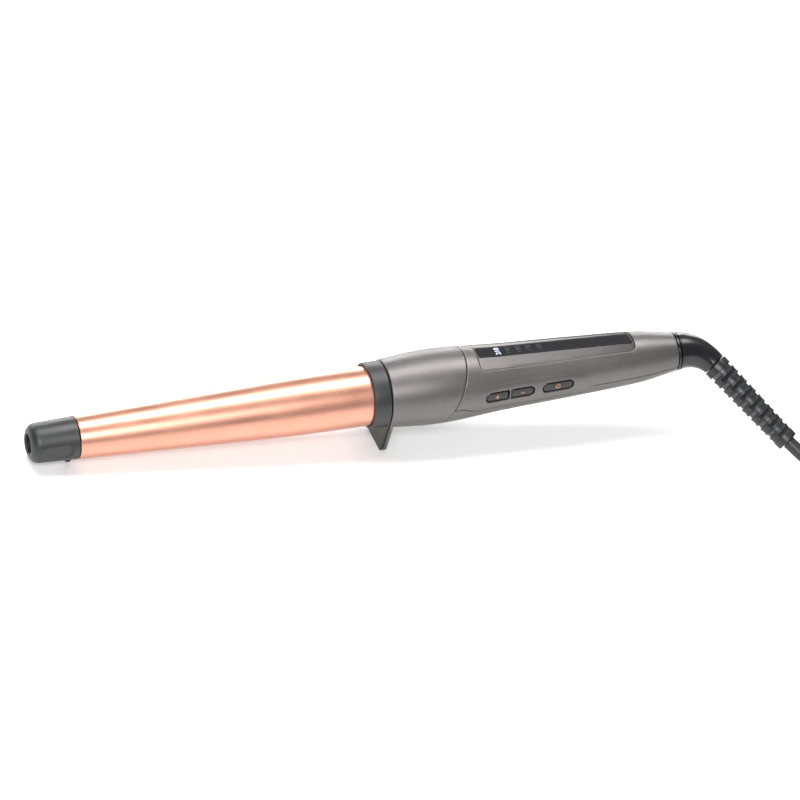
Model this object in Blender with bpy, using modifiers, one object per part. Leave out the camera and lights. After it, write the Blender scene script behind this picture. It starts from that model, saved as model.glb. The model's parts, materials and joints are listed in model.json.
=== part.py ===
"""Conical curling wand: an assembly of separate pieces, in metres, with +Z up.

The wand stands on a surface, on the small foot of its cool tip and on the flat
foot of its stand. Its pieces hang on one empty at the nose of the cool tip, whose
X axis is the wand's own axis, from the nose to the cord. Inside that empty, -Y is
the side with the keys and +Z is the side with the display. The origin of the world
is the middle of the stand's flat foot.
"""

import math

import bmesh
import bpy
from mathutils import Matrix, Vector

MM = 0.001

# ---------------------------------------------------------------- fits and facets
FIT = 0.3 * MM                 # gap between two pieces that touch or seat
RUNNING_FIT = 0.25 * MM        # radial gap of the swivel's journal
ROUND = 28                     # facets round a large turned piece
SMALL_ROUND = 16               # facets round a small one

# ---------------------------------------------------------------- barrel and tip
TIP_LENGTH = 22.4 * MM         # cool tip, nose to the barrel's front edge
TIP_NOSE_RADIUS = 9.3 * MM
TIP_REAR_RADIUS = 10.0 * MM
TIP_SHOULDER = 4.5 * MM        # rounding of the nose
TIP_HOLE_RADIUS = 4.6 * MM
TIP_HOLE_DEPTH = 10.0 * MM
TIP_FLOOR = 2.5 * MM
TIP_SPIGOT_LENGTH = 6.0 * MM
TIP_SPIGOT_WALL = 2.0 * MM
TIP_FLAT_DISTANCE = 8.9 * MM   # from the axis to each grip flat
TIP_FLAT_MARGIN = 3.0 * MM     # from each end of the cap to the flat
TIP_FLAT_WIDTH = 6.6 * MM
TIP_FOOT_RADIUS = 1.85 * MM
TIP_FOOT_DROP = 13.6 * MM      # from the axis to the underside of the foot
TIP_FOOT_SETBACK = 2.5 * MM    # from the cap's rear edge to the middle of the foot

BARREL_TAPER_LENGTH = 107.5 * MM
BARREL_STRAIGHT_LENGTH = 33.0 * MM
BARREL_FRONT_RADIUS = 10.1 * MM
BARREL_RADIUS = 14.0 * MM
BARREL_WALL = 1.3 * MM

ANCHOR_LENGTH = 5.0 * MM       # threaded wedge that the tip screw pulls forward
SCREW_RADIUS = 1.2 * MM
SCREW_HEAD_RADIUS = 2.5 * MM
SCREW_HEAD_HEIGHT = 1.8 * MM
SLOT_WIDTH = 0.8 * MM          # driver slot in a screw's head
SLOT_DEPTH = 0.8 * MM

SPREADER_FRONT_SETBACK = 20.0 * MM
SPREADER_REAR_SETBACK = 20.0 * MM
SPREADER_WALL = 1.5 * MM
ELEMENT_WIDTH = 14.0 * MM
ELEMENT_THICKNESS = 2.4 * MM
ELEMENT_END_MARGIN = 6.0 * MM
THERMISTOR_RADIUS = 1.1 * MM
THERMISTOR_LENGTH = 7.0 * MM
FUSE_RADIUS = 2.0 * MM
FUSE_LENGTH = 14.0 * MM
WIRE_RADIUS = 0.9 * MM

# ---------------------------------------------------------------- collar and stand
COLLAR_LENGTH = 8.4 * MM
COLLAR_RADIUS = 15.55 * MM
COLLAR_SHOULDER = 2.2 * MM     # inner shoulder behind the barrel's rear edge
COLLAR_TONGUE_LENGTH = 9.0 * MM
BUSH_INSIDE_BARREL = 14.0 * MM
BUSH_WALL = 1.6 * MM
BUSH_TAIL_LENGTH = 5.0 * MM    # behind the collar's tongue

STAND_DROP = 27.8 * MM         # from the axis to the stand's flat foot
STAND_FOOT_WIDTH = 17.0 * MM
STAND_THICKNESS = 2.0 * MM
STAND_FACE_THICKNESS = 0.8 * MM

# ---------------------------------------------------------------- handle
HANDLE_LENGTH = 145.5 * MM
HANDLE_FRONT_RADIUS = 15.95 * MM
HANDLE_BELLY_RADIUS = 17.7 * MM
HANDLE_GRIP_RADIUS = 15.75 * MM
HANDLE_WAIST_RADIUS = 14.0 * MM
HANDLE_SHOULDER_RADIUS = 12.1 * MM
HANDLE_END_RADIUS = 9.3 * MM
HOUSING_WALL = 2.3 * MM
SHELL_WALL = 2.0 * MM
SEAM = 0.3 * MM                # visible gap between two outer pieces
RAKE_MIDDLE = 31.4 * MM        # housing's rear edge, from the handle's front, on the axis
RAKE_SLOPE = 0.42              # how far the rear edge leans back for each unit up

SHELL_SEAM_DROP = 2.3 * MM     # seam between the shells, below the axis
SHELL_SEAM_DIP = 5.6 * MM      # the same under the keys
SEAM_RAMP = 8.0 * MM           # length of the seam's curve at each end of the dip
SEAM_DIP_MARGIN = 4.0 * MM     # from the keys to the curves

# ---------------------------------------------------------------- display
PANEL_FRONT_SETBACK = 44.8 * MM    # from the handle's front to the panel
PANEL_REAR_SETBACK = 22.0 * MM     # from the panel to the handle's end
PANEL_FRONT_HALF_WIDTH = 9.8 * MM
PANEL_REAR_HALF_WIDTH = 7.1 * MM
PANEL_CORNER = 2.5 * MM
PANEL_THICKNESS = 2.6 * MM
WINDOW_HALF_WIDTH = 3.4 * MM
WINDOW_THICKNESS = 1.2 * MM
WINDOW_END_MARGIN = 1.0 * MM
WINDOW_OPENING_FRONT = 3.0 * MM    # from the panel's front to the opening for the light
WINDOW_OPENING_LENGTH = 32.0 * MM
WINDOW_OPENING_HALF_WIDTH = 2.3 * MM

# ---------------------------------------------------------------- keys and board
KEY_ANGLE = math.radians(84.0)     # round from the display's middle, towards -Y
KEY_WIDTH = 4.8 * MM
KEY_GAP = 0.3 * MM
KEY_RECESS = 0.4 * MM              # key's face, below the shell's surface
KEY_TRAVEL = 0.8 * MM
KEY_FLANGE = 0.5 * MM
KEY_FLANGE_THICKNESS = 1.0 * MM
KEY_STEM = 2.0 * MM
KEY_STEM_LENGTH = 1.6 * MM
TEMP_KEY_LENGTH = 11.5 * MM
POWER_KEY_LENGTH = 15.4 * MM
TEMP_UP_SETBACK = 46.0 * MM        # from the handle's front to each key's front end
TEMP_DIVIDER = 1.4 * MM
POWER_SETBACK = 74.8 * MM
SWITCH_SIZE = (6.0 * MM, 3.4 * MM, 3.4 * MM)
SWITCH_PLUNGER_RADIUS = 1.1 * MM
SWITCH_PLUNGER_LENGTH = 0.7 * MM

BOARD_FRONT_SETBACK = 46.5 * MM
BOARD_REAR_SETBACK = 36.0 * MM
BOARD_HALF_WIDTH = 8.6 * MM
BOARD_THICKNESS = 1.2 * MM
BOARD_TOP = -0.9 * MM
TRAY_THICKNESS = 1.4 * MM
TRAY_HALF_WIDTH = 7.5 * MM
TRAY_REAR_SETBACK = 33.0 * MM
CHASSIS_RING_FRONT = 18.0 * MM
CHASSIS_RING_LENGTH = 19.5 * MM
CHASSIS_RING_WALL = 1.4 * MM
BOARD_SCREW_SETBACK = 4.5 * MM
BOARD_SCREW_Y = 4.8 * MM
BOARD_SCREW_LENGTH = 6.0 * MM
CAPACITOR_SIZE = (12.0 * MM, 7.0 * MM, 7.0 * MM)
TRIAC_SIZE = (6.0 * MM, 4.5 * MM, 2.2 * MM)
TRIAC_Y = 3.0 * MM

HANDLE_SCREW_FRONT = 41.8 * MM     # from the handle's front
HANDLE_SCREW_REAR = 19.4 * MM      # from the handle's end
POST_RADIUS = 2.3 * MM
BOSS_RADIUS = 3.6 * MM
BOSS_SHELF = 2.0 * MM              # plastic under the screw's head
HANDLE_SCREW_LENGTH = 12.4 * MM

# ---------------------------------------------------------------- swivel and cord
JOURNAL_RADIUS = 5.0 * MM
SWIVEL_BUSH_LENGTH = 8.0 * MM
SWIVEL_LIP = 1.3 * MM
SWIVEL_FLANGE = 2.0 * MM
SWIVEL_FLANGE_RADIUS = 6.6 * MM
SLIP_RING_THICKNESS = 0.8 * MM
SLIP_RING_RADIUS = 6.0 * MM
SLIP_RING_WIDTH = 1.6 * MM
SLIP_PIN_RADIUS = 2.0 * MM
CARRIER_THICKNESS = 1.2 * MM
CONTACT_LENGTH = 1.8 * MM
CONTACT_WIDTH = 1.6 * MM
CONTACT_THICKNESS = 0.4 * MM

ELBOW_BEND = 20.0 * MM
ELBOW_ANGLE = math.radians(56.6)
ELBOW_LEAN = math.radians(53.6)    # from straight down towards -Y, seen along the axis
ELBOW_TIP = 1.0 * MM               # straight end that the strain relief sits on
ELBOW_START_RADIUS = 9.2 * MM
ELBOW_END_RADIUS = 5.9 * MM
ELBOW_BORE_RADIUS = 3.6 * MM
ELBOW_BORE_DEPTH = 6.0 * MM

RELIEF_LENGTH = 50.0 * MM
RELIEF_START_RADIUS = 6.3 * MM
RELIEF_END_RADIUS = 5.3 * MM
RELIEF_HEAD = 3.0 * MM             # plain ring at the elbow
RELIEF_PITCH = 6.2 * MM
RELIEF_SLOT = 1.7 * MM
RELIEF_CORE = 3.4 * MM             # radius of what the slots leave whole
CORD_RADIUS = 3.2 * MM

# ---------------------------------------------------------------- where the cord lies, in the world
CORD_LEAD = [                      # from the strain relief down to the coil
    (0.1911, -0.0412, 0.0152),
    (0.1979, -0.0481, 0.0109),
    (0.2056, -0.0545, 0.0076),
    (0.2140, -0.0600, 0.0054),
    (0.2229, -0.0645, 0.0044),
    (0.2308, -0.0676, 0.0042),
]
CORD_TAIL = [                      # from the coil to the plug
    (0.2977, -0.0635, 0.0128),
    (0.3070, -0.0609, 0.0096),
    (0.3165, -0.0590, 0.0074),
    (0.3262, -0.0588, 0.0070),
]
COIL_MIDDLE = (0.2620, -0.0300)
COIL_RADIUS = 35.2 * MM            # to the middle of the turns
COIL_HALF_WIDTH = 10.0 * MM
COIL_BOTTOM = 1.0 * MM
COIL_TOP = 20.2 * MM
COIL_CORNER = 3.0 * MM
TIE_WIDTH = 8.0 * MM
TIE_THICKNESS = 0.5 * MM
TIE_ANGLE = math.radians(120.0)
PLUG_LENGTH = 36.0 * MM
PLUG_WIDTH = 35.0 * MM
PLUG_NECK = 13.0 * MM
PLUG_THICKNESS = 13.8 * MM
PLUG_CORNER = 1.5 * MM
PLUG_TURN = math.radians(-90.0)     # from +Y towards +X
PIN_RADIUS = 2.0 * MM
PIN_LENGTH = 19.0 * MM
PIN_DEPTH = 6.0 * MM
PIN_SPACING = 18.6 * MM

# ---------------------------------------------------------------- stations along the axis
X_TIP_END = TIP_LENGTH
X_TAPER_END = X_TIP_END + BARREL_TAPER_LENGTH
X_COLLAR = X_TAPER_END + BARREL_STRAIGHT_LENGTH
X_HANDLE = X_COLLAR + COLLAR_LENGTH
X_END = X_HANDLE + HANDLE_LENGTH
X_BARREL_FRONT = X_TIP_END + FIT
X_BARREL_REAR = X_HANDLE - COLLAR_SHOULDER - FIT
X_TONGUE_END = X_HANDLE + COLLAR_TONGUE_LENGTH

HANDLE_STATIONS = [            # share of the handle's length, radius there
    (0.00, HANDLE_FRONT_RADIUS),
    (0.18, HANDLE_BELLY_RADIUS),
    (0.40, HANDLE_GRIP_RADIUS),
    (0.66, HANDLE_WAIST_RADIUS),
    (0.88, HANDLE_SHOULDER_RADIUS),
    (1.00, HANDLE_END_RADIUS),
]


def handle_radius(x):
    """Outer radius of the handle at x, on a smooth curve through its stations."""
    share = min(max((x - X_HANDLE) / HANDLE_LENGTH, 0.0), 1.0)
    stations = HANDLE_STATIONS
    slopes = []
    for i in range(len(stations)):
        low = stations[max(i - 1, 0)]
        high = stations[min(i + 1, len(stations) - 1)]
        slopes.append((high[1] - low[1]) / (high[0] - low[0]))
    slopes[0] *= 1.6
    i = 0
    while i < len(stations) - 2 and share > stations[i + 1][0]:
        i += 1
    (t0, r0), (t1, r1) = stations[i], stations[i + 1]
    span = t1 - t0
    u = (share - t0) / span
    return (r0 * (2 * u**3 - 3 * u**2 + 1) + slopes[i] * span * (u**3 - 2 * u**2 + u)
            + r1 * (3 * u**2 - 2 * u**3) + slopes[i + 1] * span * (u**3 - u**2))


def barrel_radius(x):
    """Outer radius of the barrel at x: a taper, then straight."""
    share = min(max((x - X_BARREL_FRONT) / (X_TAPER_END - X_BARREL_FRONT), 0.0), 1.0)
    return BARREL_FRONT_RADIUS + share * (BARREL_RADIUS - BARREL_FRONT_RADIUS)


def barrel_bore(x):
    return barrel_radius(x) - BARREL_WALL


def seam_height(x):
    """Height of the seam between the shells: a dip under the keys, with a smooth curve at each end."""
    dip_start = X_HANDLE + TEMP_UP_SETBACK - SEAM_DIP_MARGIN
    dip_end = X_HANDLE + POWER_SETBACK + POWER_KEY_LENGTH + SEAM_DIP_MARGIN
    enter = min(max((x - dip_start + SEAM_RAMP) / SEAM_RAMP, 0.0), 1.0)
    leave = min(max((x - dip_end) / SEAM_RAMP, 0.0), 1.0)
    depth = smooth_step(enter) - smooth_step(leave)
    return -SHELL_SEAM_DROP - depth * (SHELL_SEAM_DIP - SHELL_SEAM_DROP)


def smooth_step(u):
    return u * u * (3 - 2 * u)


def spaced(start, end, count):
    """count + 1 even stations from start to end."""
    return [start + (end - start) * i / count for i in range(count + 1)]


def pitch_angle():
    """How far the axis rises towards the handle, standing on the tip's foot and the stand."""
    span = X_STAND - X_TIP_FOOT
    rise = STAND_DROP - (TIP_FOOT_DROP - TIP_FOOT_RADIUS)
    return math.atan2(rise, span) - math.asin(TIP_FOOT_RADIUS / math.hypot(rise, span))


X_TIP_FOOT = X_TIP_END - TIP_FOOT_SETBACK
X_STAND = X_HANDLE + FIT + STAND_THICKNESS / 2
PITCH = pitch_angle()

# ---------------------------------------------------------------- scene and materials
for old in list(bpy.data.objects):
    bpy.data.objects.remove(old, do_unlink=True)

PARTS = bpy.data.collections.new("curling_wand")
CUTTERS = bpy.data.collections.new("cutters")
bpy.context.scene.collection.children.link(PARTS)
bpy.context.scene.collection.children.link(CUTTERS)


def make_material(name, colour, roughness, metallic=0.0):
    material = bpy.data.materials.new(name)
    material.use_nodes = True
    shader = material.node_tree.nodes["Principled BSDF"]
    shader.inputs["Base Color"].default_value = (*colour, 1.0)
    shader.inputs["Roughness"].default_value = roughness
    shader.inputs["Metallic"].default_value = metallic
    material.diffuse_color = (*colour, 1.0)
    return material


ROSE_GOLD = make_material("rose_gold_coating", (0.58, 0.27, 0.20), 0.35, 0.9)
GUNMETAL = make_material("gunmetal_paint", (0.13, 0.13, 0.135), 0.45, 0.7)
BLACK_PLASTIC = make_material("black_heatproof_plastic", (0.012, 0.012, 0.014), 0.45)
GLOSS_BLACK = make_material("gloss_black_plastic", (0.006, 0.006, 0.008), 0.12)
RUBBER = make_material("black_rubber", (0.015, 0.015, 0.017), 0.6)
ALUMINIUM = make_material("aluminium", (0.65, 0.66, 0.68), 0.35, 1.0)
STEEL = make_material("plated_steel", (0.55, 0.56, 0.58), 0.3, 1.0)
BRASS = make_material("brass", (0.72, 0.52, 0.22), 0.3, 1.0)
CERAMIC = make_material("ceramic", (0.8, 0.78, 0.72), 0.6)
PHENOLIC = make_material("brown_phenolic", (0.10, 0.045, 0.02), 0.5)
GREEN_BOARD = make_material("circuit_board", (0.02, 0.13, 0.05), 0.4)
NYLON = make_material("natural_nylon", (0.6, 0.58, 0.52), 0.5)
RED_CASE = make_material("red_capacitor_case", (0.45, 0.05, 0.03), 0.4)
WHITE_WIRE = make_material("glass_braid_sleeve", (0.75, 0.74, 0.7), 0.7)


# ---------------------------------------------------------------- modelling helpers
def place(obj, material, parent):
    """Put a finished object among the parts, or a cutter (no material) among the cutters."""
    if material is None:
        CUTTERS.objects.link(obj)
        obj.hide_render = True
        obj.display_type = "WIRE"
    else:
        PARTS.objects.link(obj)
        obj.data.materials.append(material)
    obj.parent = parent
    return obj


def turned(name, outer, inner, material, parent=None, steps=ROUND):
    """A body turned about the wand's axis from (x, radius) points, each list front to rear.

    The profile goes down the outer side and back up the inner one. With no inner
    points it is a solid that closes on the axis."""
    loop = list(reversed(outer)) + list(inner)
    if not inner and outer[-1][1] > 0:
        loop.insert(0, (outer[-1][0], 0.0))
    if not inner and outer[0][1] > 0:
        loop.append((outer[0][0], 0.0))
    mesh = bpy.data.meshes.new(name)
    edges = [(i, i + 1) for i in range(len(loop) - 1)]
    if inner:
        edges.append((len(loop) - 1, 0))
    mesh.from_pydata([(r, 0.0, x) for x, r in loop], edges, [])
    obj = bpy.data.objects.new(name, mesh)
    obj.rotation_euler = (0.0, math.pi / 2, 0.0)
    screw = obj.modifiers.new("Turn", "SCREW")
    screw.angle = math.tau
    screw.steps = steps
    screw.render_steps = steps
    screw.use_merge_vertices = True
    screw.merge_threshold = 0.00001
    return place(obj, material, parent or WAND)


def mesh_of(bm, name):
    bmesh.ops.recalc_face_normals(bm, faces=bm.faces[:])
    mesh = bpy.data.meshes.new(name)
    bm.to_mesh(mesh)
    bm.free()
    return mesh


def block(name, low, high, material, parent=None, corner=0.0):
    """A box between two corners, with its size in its mesh and its origin at its middle."""
    bm = bmesh.new()
    bmesh.ops.create_cube(bm, size=1.0)
    size = [h - l for l, h in zip(low, high)]
    bmesh.ops.scale(bm, vec=size, verts=bm.verts[:])
    obj = bpy.data.objects.new(name, mesh_of(bm, name))
    obj.location = [(l + h) / 2 for l, h in zip(low, high)]
    if corner:
        soften(obj, corner)
    return place(obj, material, parent or WAND)


def rod(name, radius, start, end, material, parent=None, steps=SMALL_ROUND):
    """A round bar from start to end, with its origin at its middle."""
    start, end = Vector(start), Vector(end)
    bm = bmesh.new()
    bmesh.ops.create_cone(bm, cap_ends=True, segments=steps, radius1=radius, radius2=radius,
                          depth=(end - start).length)
    obj = bpy.data.objects.new(name, mesh_of(bm, name))
    obj.location = (start + end) / 2
    obj.rotation_mode = "QUATERNION"
    obj.rotation_quaternion = (end - start).to_track_quat("Z", "Y")
    return place(obj, material, parent or WAND)


def plate(name, outline, half_thickness, material, parent=None, turn=None):
    """A flat outline of (x, y) points, extruded both ways along its local Z."""
    curve = bpy.data.curves.new(name, "CURVE")
    curve.dimensions = "2D"
    curve.fill_mode = "BOTH"
    curve.extrude = half_thickness
    spline = curve.splines.new("POLY")
    spline.points.add(len(outline) - 1)
    for point, (x, y) in zip(spline.points, outline):
        point.co = (x, y, 0.0, 1.0)
    spline.use_cyclic_u = True
    obj = meshed(bpy.data.objects.new(name, curve))
    if turn is not None:
        obj.matrix_local = turn
    return place(obj, material, parent or WAND)


def meshed(source):
    """The mesh of a curve object with its caps welded on, as a new object of the same name."""
    name = source.name
    bpy.context.scene.collection.objects.link(source)
    evaluated = source.evaluated_get(bpy.context.evaluated_depsgraph_get())
    mesh = bpy.data.meshes.new_from_object(evaluated)
    curve = source.data
    bpy.data.objects.remove(source)
    bpy.data.curves.remove(curve)
    bm = bmesh.new()
    bm.from_mesh(mesh)
    bmesh.ops.remove_doubles(bm, verts=bm.verts[:], dist=0.000001)
    bmesh.ops.recalc_face_normals(bm, faces=bm.faces[:])
    bm.to_mesh(mesh)
    bm.free()
    obj = bpy.data.objects.new(name, mesh)
    obj.name = name
    return obj


def tube(name, points, radius, material, parent=None, shares=None, resolution=2):
    """A round tube along the points; shares scales its radius at each point."""
    curve = bpy.data.curves.new(name, "CURVE")
    curve.dimensions = "3D"
    curve.bevel_depth = radius
    curve.bevel_resolution = resolution
    curve.use_fill_caps = True
    spline = curve.splines.new("POLY")
    spline.points.add(len(points) - 1)
    for i, point in enumerate(points):
        spline.points[i].co = (*point, 1.0)
        spline.points[i].radius = shares[i] if shares else 1.0
    return place(meshed(bpy.data.objects.new(name, curve)), material, parent or WAND)


def cut(obj, cutter, operation="DIFFERENCE"):
    boolean = obj.modifiers.new(operation.title(), "BOOLEAN")
    boolean.operation = operation
    boolean.solver = "EXACT"
    boolean.object = cutter
    return obj


def soften(obj, width, segments=1):
    bevel = obj.modifiers.new("Bevel", "BEVEL")
    bevel.width = width
    bevel.segments = segments
    bevel.limit_method = "ANGLE"
    bevel.angle_limit = math.radians(40.0)
    return obj


def smooth_curve(points, steps):
    """Points on a smooth curve through the given ones, steps of them between each pair."""
    ends = [points[0] * 2 - points[1]] + points + [points[-1] * 2 - points[-2]]
    curve = []
    for i in range(1, len(ends) - 2):
        p0, p1, p2, p3 = ends[i - 1:i + 3]
        for k in range(steps):
            u = k / steps
            curve.append((p1 * 2 + (p2 - p0) * u + (p0 * 2 - p1 * 5 + p2 * 4 - p3) * u * u
                          + (p1 * 3 - p0 - p2 * 3 + p3) * u**3) / 2)
    curve.append(points[-1])
    return curve


def empty(name, location, parent=None):
    marker = bpy.data.objects.new(name, None)
    marker.empty_display_size = 0.02
    marker.location = location
    marker.parent = parent
    PARTS.objects.link(marker)
    return marker


def stadium(length, width, flat_front=False, flat_rear=False, steps=6):
    """Outline of a slot with round ends, from x = 0; an end can be square instead."""
    half = width / 2
    outline = []
    if flat_rear:
        outline += [(length, -half), (length, half)]
    else:
        outline += [(length - half + half * math.cos(a), half * math.sin(a))
                    for a in spaced(-math.pi / 2, math.pi / 2, steps)]
    if flat_front:
        outline += [(0.0, half), (0.0, -half)]
    else:
        outline += [(half + half * math.cos(a), half * math.sin(a))
                    for a in spaced(math.pi / 2, 3 * math.pi / 2, steps)]
    return outline


def shifted(outline, dx):
    return [(x + dx, y) for x, y in outline]


def wand_to_world(point):
    """World place of a point given in the wand's own axes."""
    return WAND_MATRIX @ Vector(point)


TILT = Matrix.Rotation(-PITCH, 4, "Y")
WAND_MATRIX = Matrix.Translation(-(TILT @ Vector((X_STAND, 0.0, -STAND_DROP)))) @ TILT
WAND = empty("wand_axis", WAND_MATRIX.translation)
WAND.rotation_euler = (0.0, -PITCH, 0.0)
FLOOR = empty("floor", (0.0, 0.0, 0.0))


# ---------------------------------------------------------------- places that pieces share
X_BARREL_SCREW = X_COLLAR + 3.1 * MM
COLLAR_BORE = BARREL_RADIUS - BARREL_WALL - FIT - 0.9 * MM
TONGUE_RADIUS = HANDLE_FRONT_RADIUS - HOUSING_WALL - FIT
X_BUSH_FRONT = X_END - SWIVEL_BUSH_LENGTH
X_FLANGE = X_BUSH_FRONT - FIT - SWIVEL_FLANGE
X_RINGS = X_FLANGE - FIT - SLIP_RING_THICKNESS
X_CARRIER_REAR = X_RINGS - 2 * FIT - CONTACT_LENGTH
X_CARRIER_FRONT = X_CARRIER_REAR - CARRIER_THICKNESS
X_ELBOW = X_END + FIT + SWIVEL_LIP + FIT
BOARD_SCREWS = (X_HANDLE + BOARD_FRONT_SETBACK + BOARD_SCREW_SETBACK,
                X_END - BOARD_REAR_SETBACK - BOARD_SCREW_SETBACK)
SWIVEL = empty("swivel_axis", (X_END, 0.0, 0.0), WAND)


# ---------------------------------------------------------------- cool tip and barrel
def cool_tip():
    """Cap with a round shoulder, a deep nose hole, a spigot for the barrel, grip flats and a foot."""
    arc = [(TIP_SHOULDER * (1 - math.cos(a)),
            TIP_NOSE_RADIUS - TIP_SHOULDER * (1 - math.sin(a)))
           for a in spaced(0.0, math.pi / 2, 6)]
    spigot = barrel_bore(X_BARREL_FRONT) - FIT
    x_spigot = X_TIP_END + TIP_SPIGOT_LENGTH
    x_floor = TIP_HOLE_DEPTH + TIP_FLOOR
    outer = arc + [(X_TIP_END, TIP_REAR_RADIUS), (X_TIP_END, spigot), (x_spigot, spigot)]
    inner = [(0.0, TIP_HOLE_RADIUS), (TIP_HOLE_DEPTH, TIP_HOLE_RADIUS),
             (TIP_HOLE_DEPTH, SCREW_RADIUS + FIT), (x_floor, SCREW_RADIUS + FIT),
             (x_floor, spigot - TIP_SPIGOT_WALL), (x_spigot, spigot - TIP_SPIGOT_WALL)]
    cap = turned("cool_tip", outer, inner, BLACK_PLASTIC)
    foot_bottom = TIP_FOOT_DROP - TIP_FOOT_RADIUS
    dome = [(foot_bottom + TIP_FOOT_RADIUS * math.sin(a), TIP_FOOT_RADIUS * math.cos(a))
            for a in spaced(0.0, math.pi / 2, 5)]
    root = TIP_NOSE_RADIUS - 0.5 * MM
    foot = turned("tip_foot", [(root, TIP_FOOT_RADIUS)] + dome[:-1] + [(TIP_FOOT_DROP, 0.0)], [],
                  None, steps=12)
    foot.rotation_euler = (0.0, math.pi, 0.0)
    foot.location = (X_TIP_FOOT, 0.0, 0.0)
    cut(cap, foot, "UNION")
    length = X_TIP_END - TIP_FLAT_MARGIN - TIP_SHOULDER
    depth = 2.0 * MM
    for side in (-1, 1):
        turn = Matrix.Translation((TIP_SHOULDER, side * (TIP_FLAT_DISTANCE + depth), 0.0))
        flat = plate("tip_flat", stadium(length, TIP_FLAT_WIDTH), depth, None,
                     turn=turn @ Matrix.Rotation(math.pi / 2, 4, "X"))
        cut(cap, flat)
    return cap


def screw(name, head_top, direction, length, parent=None):
    """A pan-head screw: its head's outer face at head_top, pointing along direction."""
    obj = turned(name, [(0.0, SCREW_HEAD_RADIUS * 0.8), (0.5 * MM, SCREW_HEAD_RADIUS),
                        (SCREW_HEAD_HEIGHT, SCREW_HEAD_RADIUS), (SCREW_HEAD_HEIGHT, SCREW_RADIUS),
                        (length - SCREW_RADIUS, SCREW_RADIUS), (length, 0.4 * SCREW_RADIUS)],
                 [], STEEL, parent, steps=12)
    obj.rotation_mode = "QUATERNION"
    obj.rotation_quaternion = Vector(direction).to_track_quat("Z", "X")
    obj.location = head_top
    slot = block(name + "_slot", (-SCREW_HEAD_RADIUS * 2, -SLOT_WIDTH / 2, -SLOT_DEPTH),
                 (SCREW_HEAD_RADIUS * 2, SLOT_WIDTH / 2, SLOT_DEPTH), None, obj)
    return cut(obj, slot)


def tip_screw_and_anchor():
    head_top = TIP_HOLE_DEPTH - FIT - SCREW_HEAD_HEIGHT
    x_front = X_TIP_END + TIP_SPIGOT_LENGTH + FIT
    x_rear = x_front + ANCHOR_LENGTH
    screw("tip_screw", (head_top, 0.0, 0.0), (1, 0, 0), x_rear - head_top)
    turned("tip_anchor",
           [(x_front, barrel_bore(x_front) - FIT), (x_rear, barrel_bore(x_rear) - FIT)],
           [(x_front, SCREW_RADIUS + FIT), (x_rear, SCREW_RADIUS + FIT)], STEEL)


def barrel_tube():
    stations = [X_BARREL_FRONT, X_TAPER_END, X_BARREL_REAR]
    barrel = turned("barrel_tube", [(x, barrel_radius(x)) for x in stations],
                    [(x, barrel_bore(x)) for x in stations], ROSE_GOLD, steps=36)
    return cut(barrel, rod("barrel_screw_hole", SCREW_HEAD_RADIUS + FIT,
                           (X_BARREL_SCREW, -2 * BARREL_RADIUS, 0.0),
                           (X_BARREL_SCREW, 2 * BARREL_RADIUS, 0.0), None))


def heater():
    """Two D-shaped spreaders that press a flat ceramic element between them."""
    x_front = X_BARREL_FRONT + SPREADER_FRONT_SETBACK
    x_rear = X_COLLAR - SPREADER_REAR_SETBACK
    stations = [x_front, X_TAPER_END, x_rear] if x_rear > X_TAPER_END else [x_front, x_rear]
    over = 5.0 * MM
    slot = ELEMENT_THICKNESS / 2 + FIT
    reach = 2 * BARREL_RADIUS
    hollow = [x_front - over] + stations[1:-1] + [x_rear + over]
    for side, name in ((1, "upper"), (-1, "lower")):
        half = turned("heat_spreader_" + name, [(x, barrel_bore(x) - FIT) for x in stations], [],
                      ALUMINIUM)
        core = turned("spreader_core_" + name,
                      [(x, barrel_bore(x) - FIT - SPREADER_WALL) for x in hollow], [], None)
        for piece, edge in ((half, slot), (core, slot + SPREADER_WALL)):
            low, high = sorted((-side * reach, side * edge))
            cut(piece, block("spreader_split_" + name, (x_front - 4 * over, -reach, low),
                             (x_rear + 4 * over, reach, high), None))
        cut(half, core)
    element_start = x_front + ELEMENT_END_MARGIN
    element_end = x_rear - ELEMENT_END_MARGIN
    block("ptc_element", (element_start, -ELEMENT_WIDTH / 2, -ELEMENT_THICKNESS / 2),
          (element_end, ELEMENT_WIDTH / 2, ELEMENT_THICKNESS / 2), CERAMIC)
    web = slot + SPREADER_WALL
    middle = (x_front + x_rear) / 2
    r = THERMISTOR_RADIUS
    thermistor = turned("thermistor", [(0.0, 0.5 * r), (0.4 * r, r), (THERMISTOR_LENGTH - 0.4 * r, r),
                                       (THERMISTOR_LENGTH, 0.5 * r)], [], CERAMIC, steps=12)
    thermistor.location = (middle, 0.0, web + FIT + r)
    lead = 0.4 * MM
    fuse = turned("thermal_fuse", [(0.0, lead), (3.0 * MM, lead), (3.0 * MM, FUSE_RADIUS),
                                   (FUSE_LENGTH - 3.0 * MM, FUSE_RADIUS),
                                   (FUSE_LENGTH - 3.0 * MM, lead), (FUSE_LENGTH, lead)],
                  [], STEEL, steps=12)
    fuse.location = (middle, 0.0, -web - FIT - FUSE_RADIUS)
    return element_end, middle + THERMISTOR_LENGTH, web + FIT + r


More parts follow.
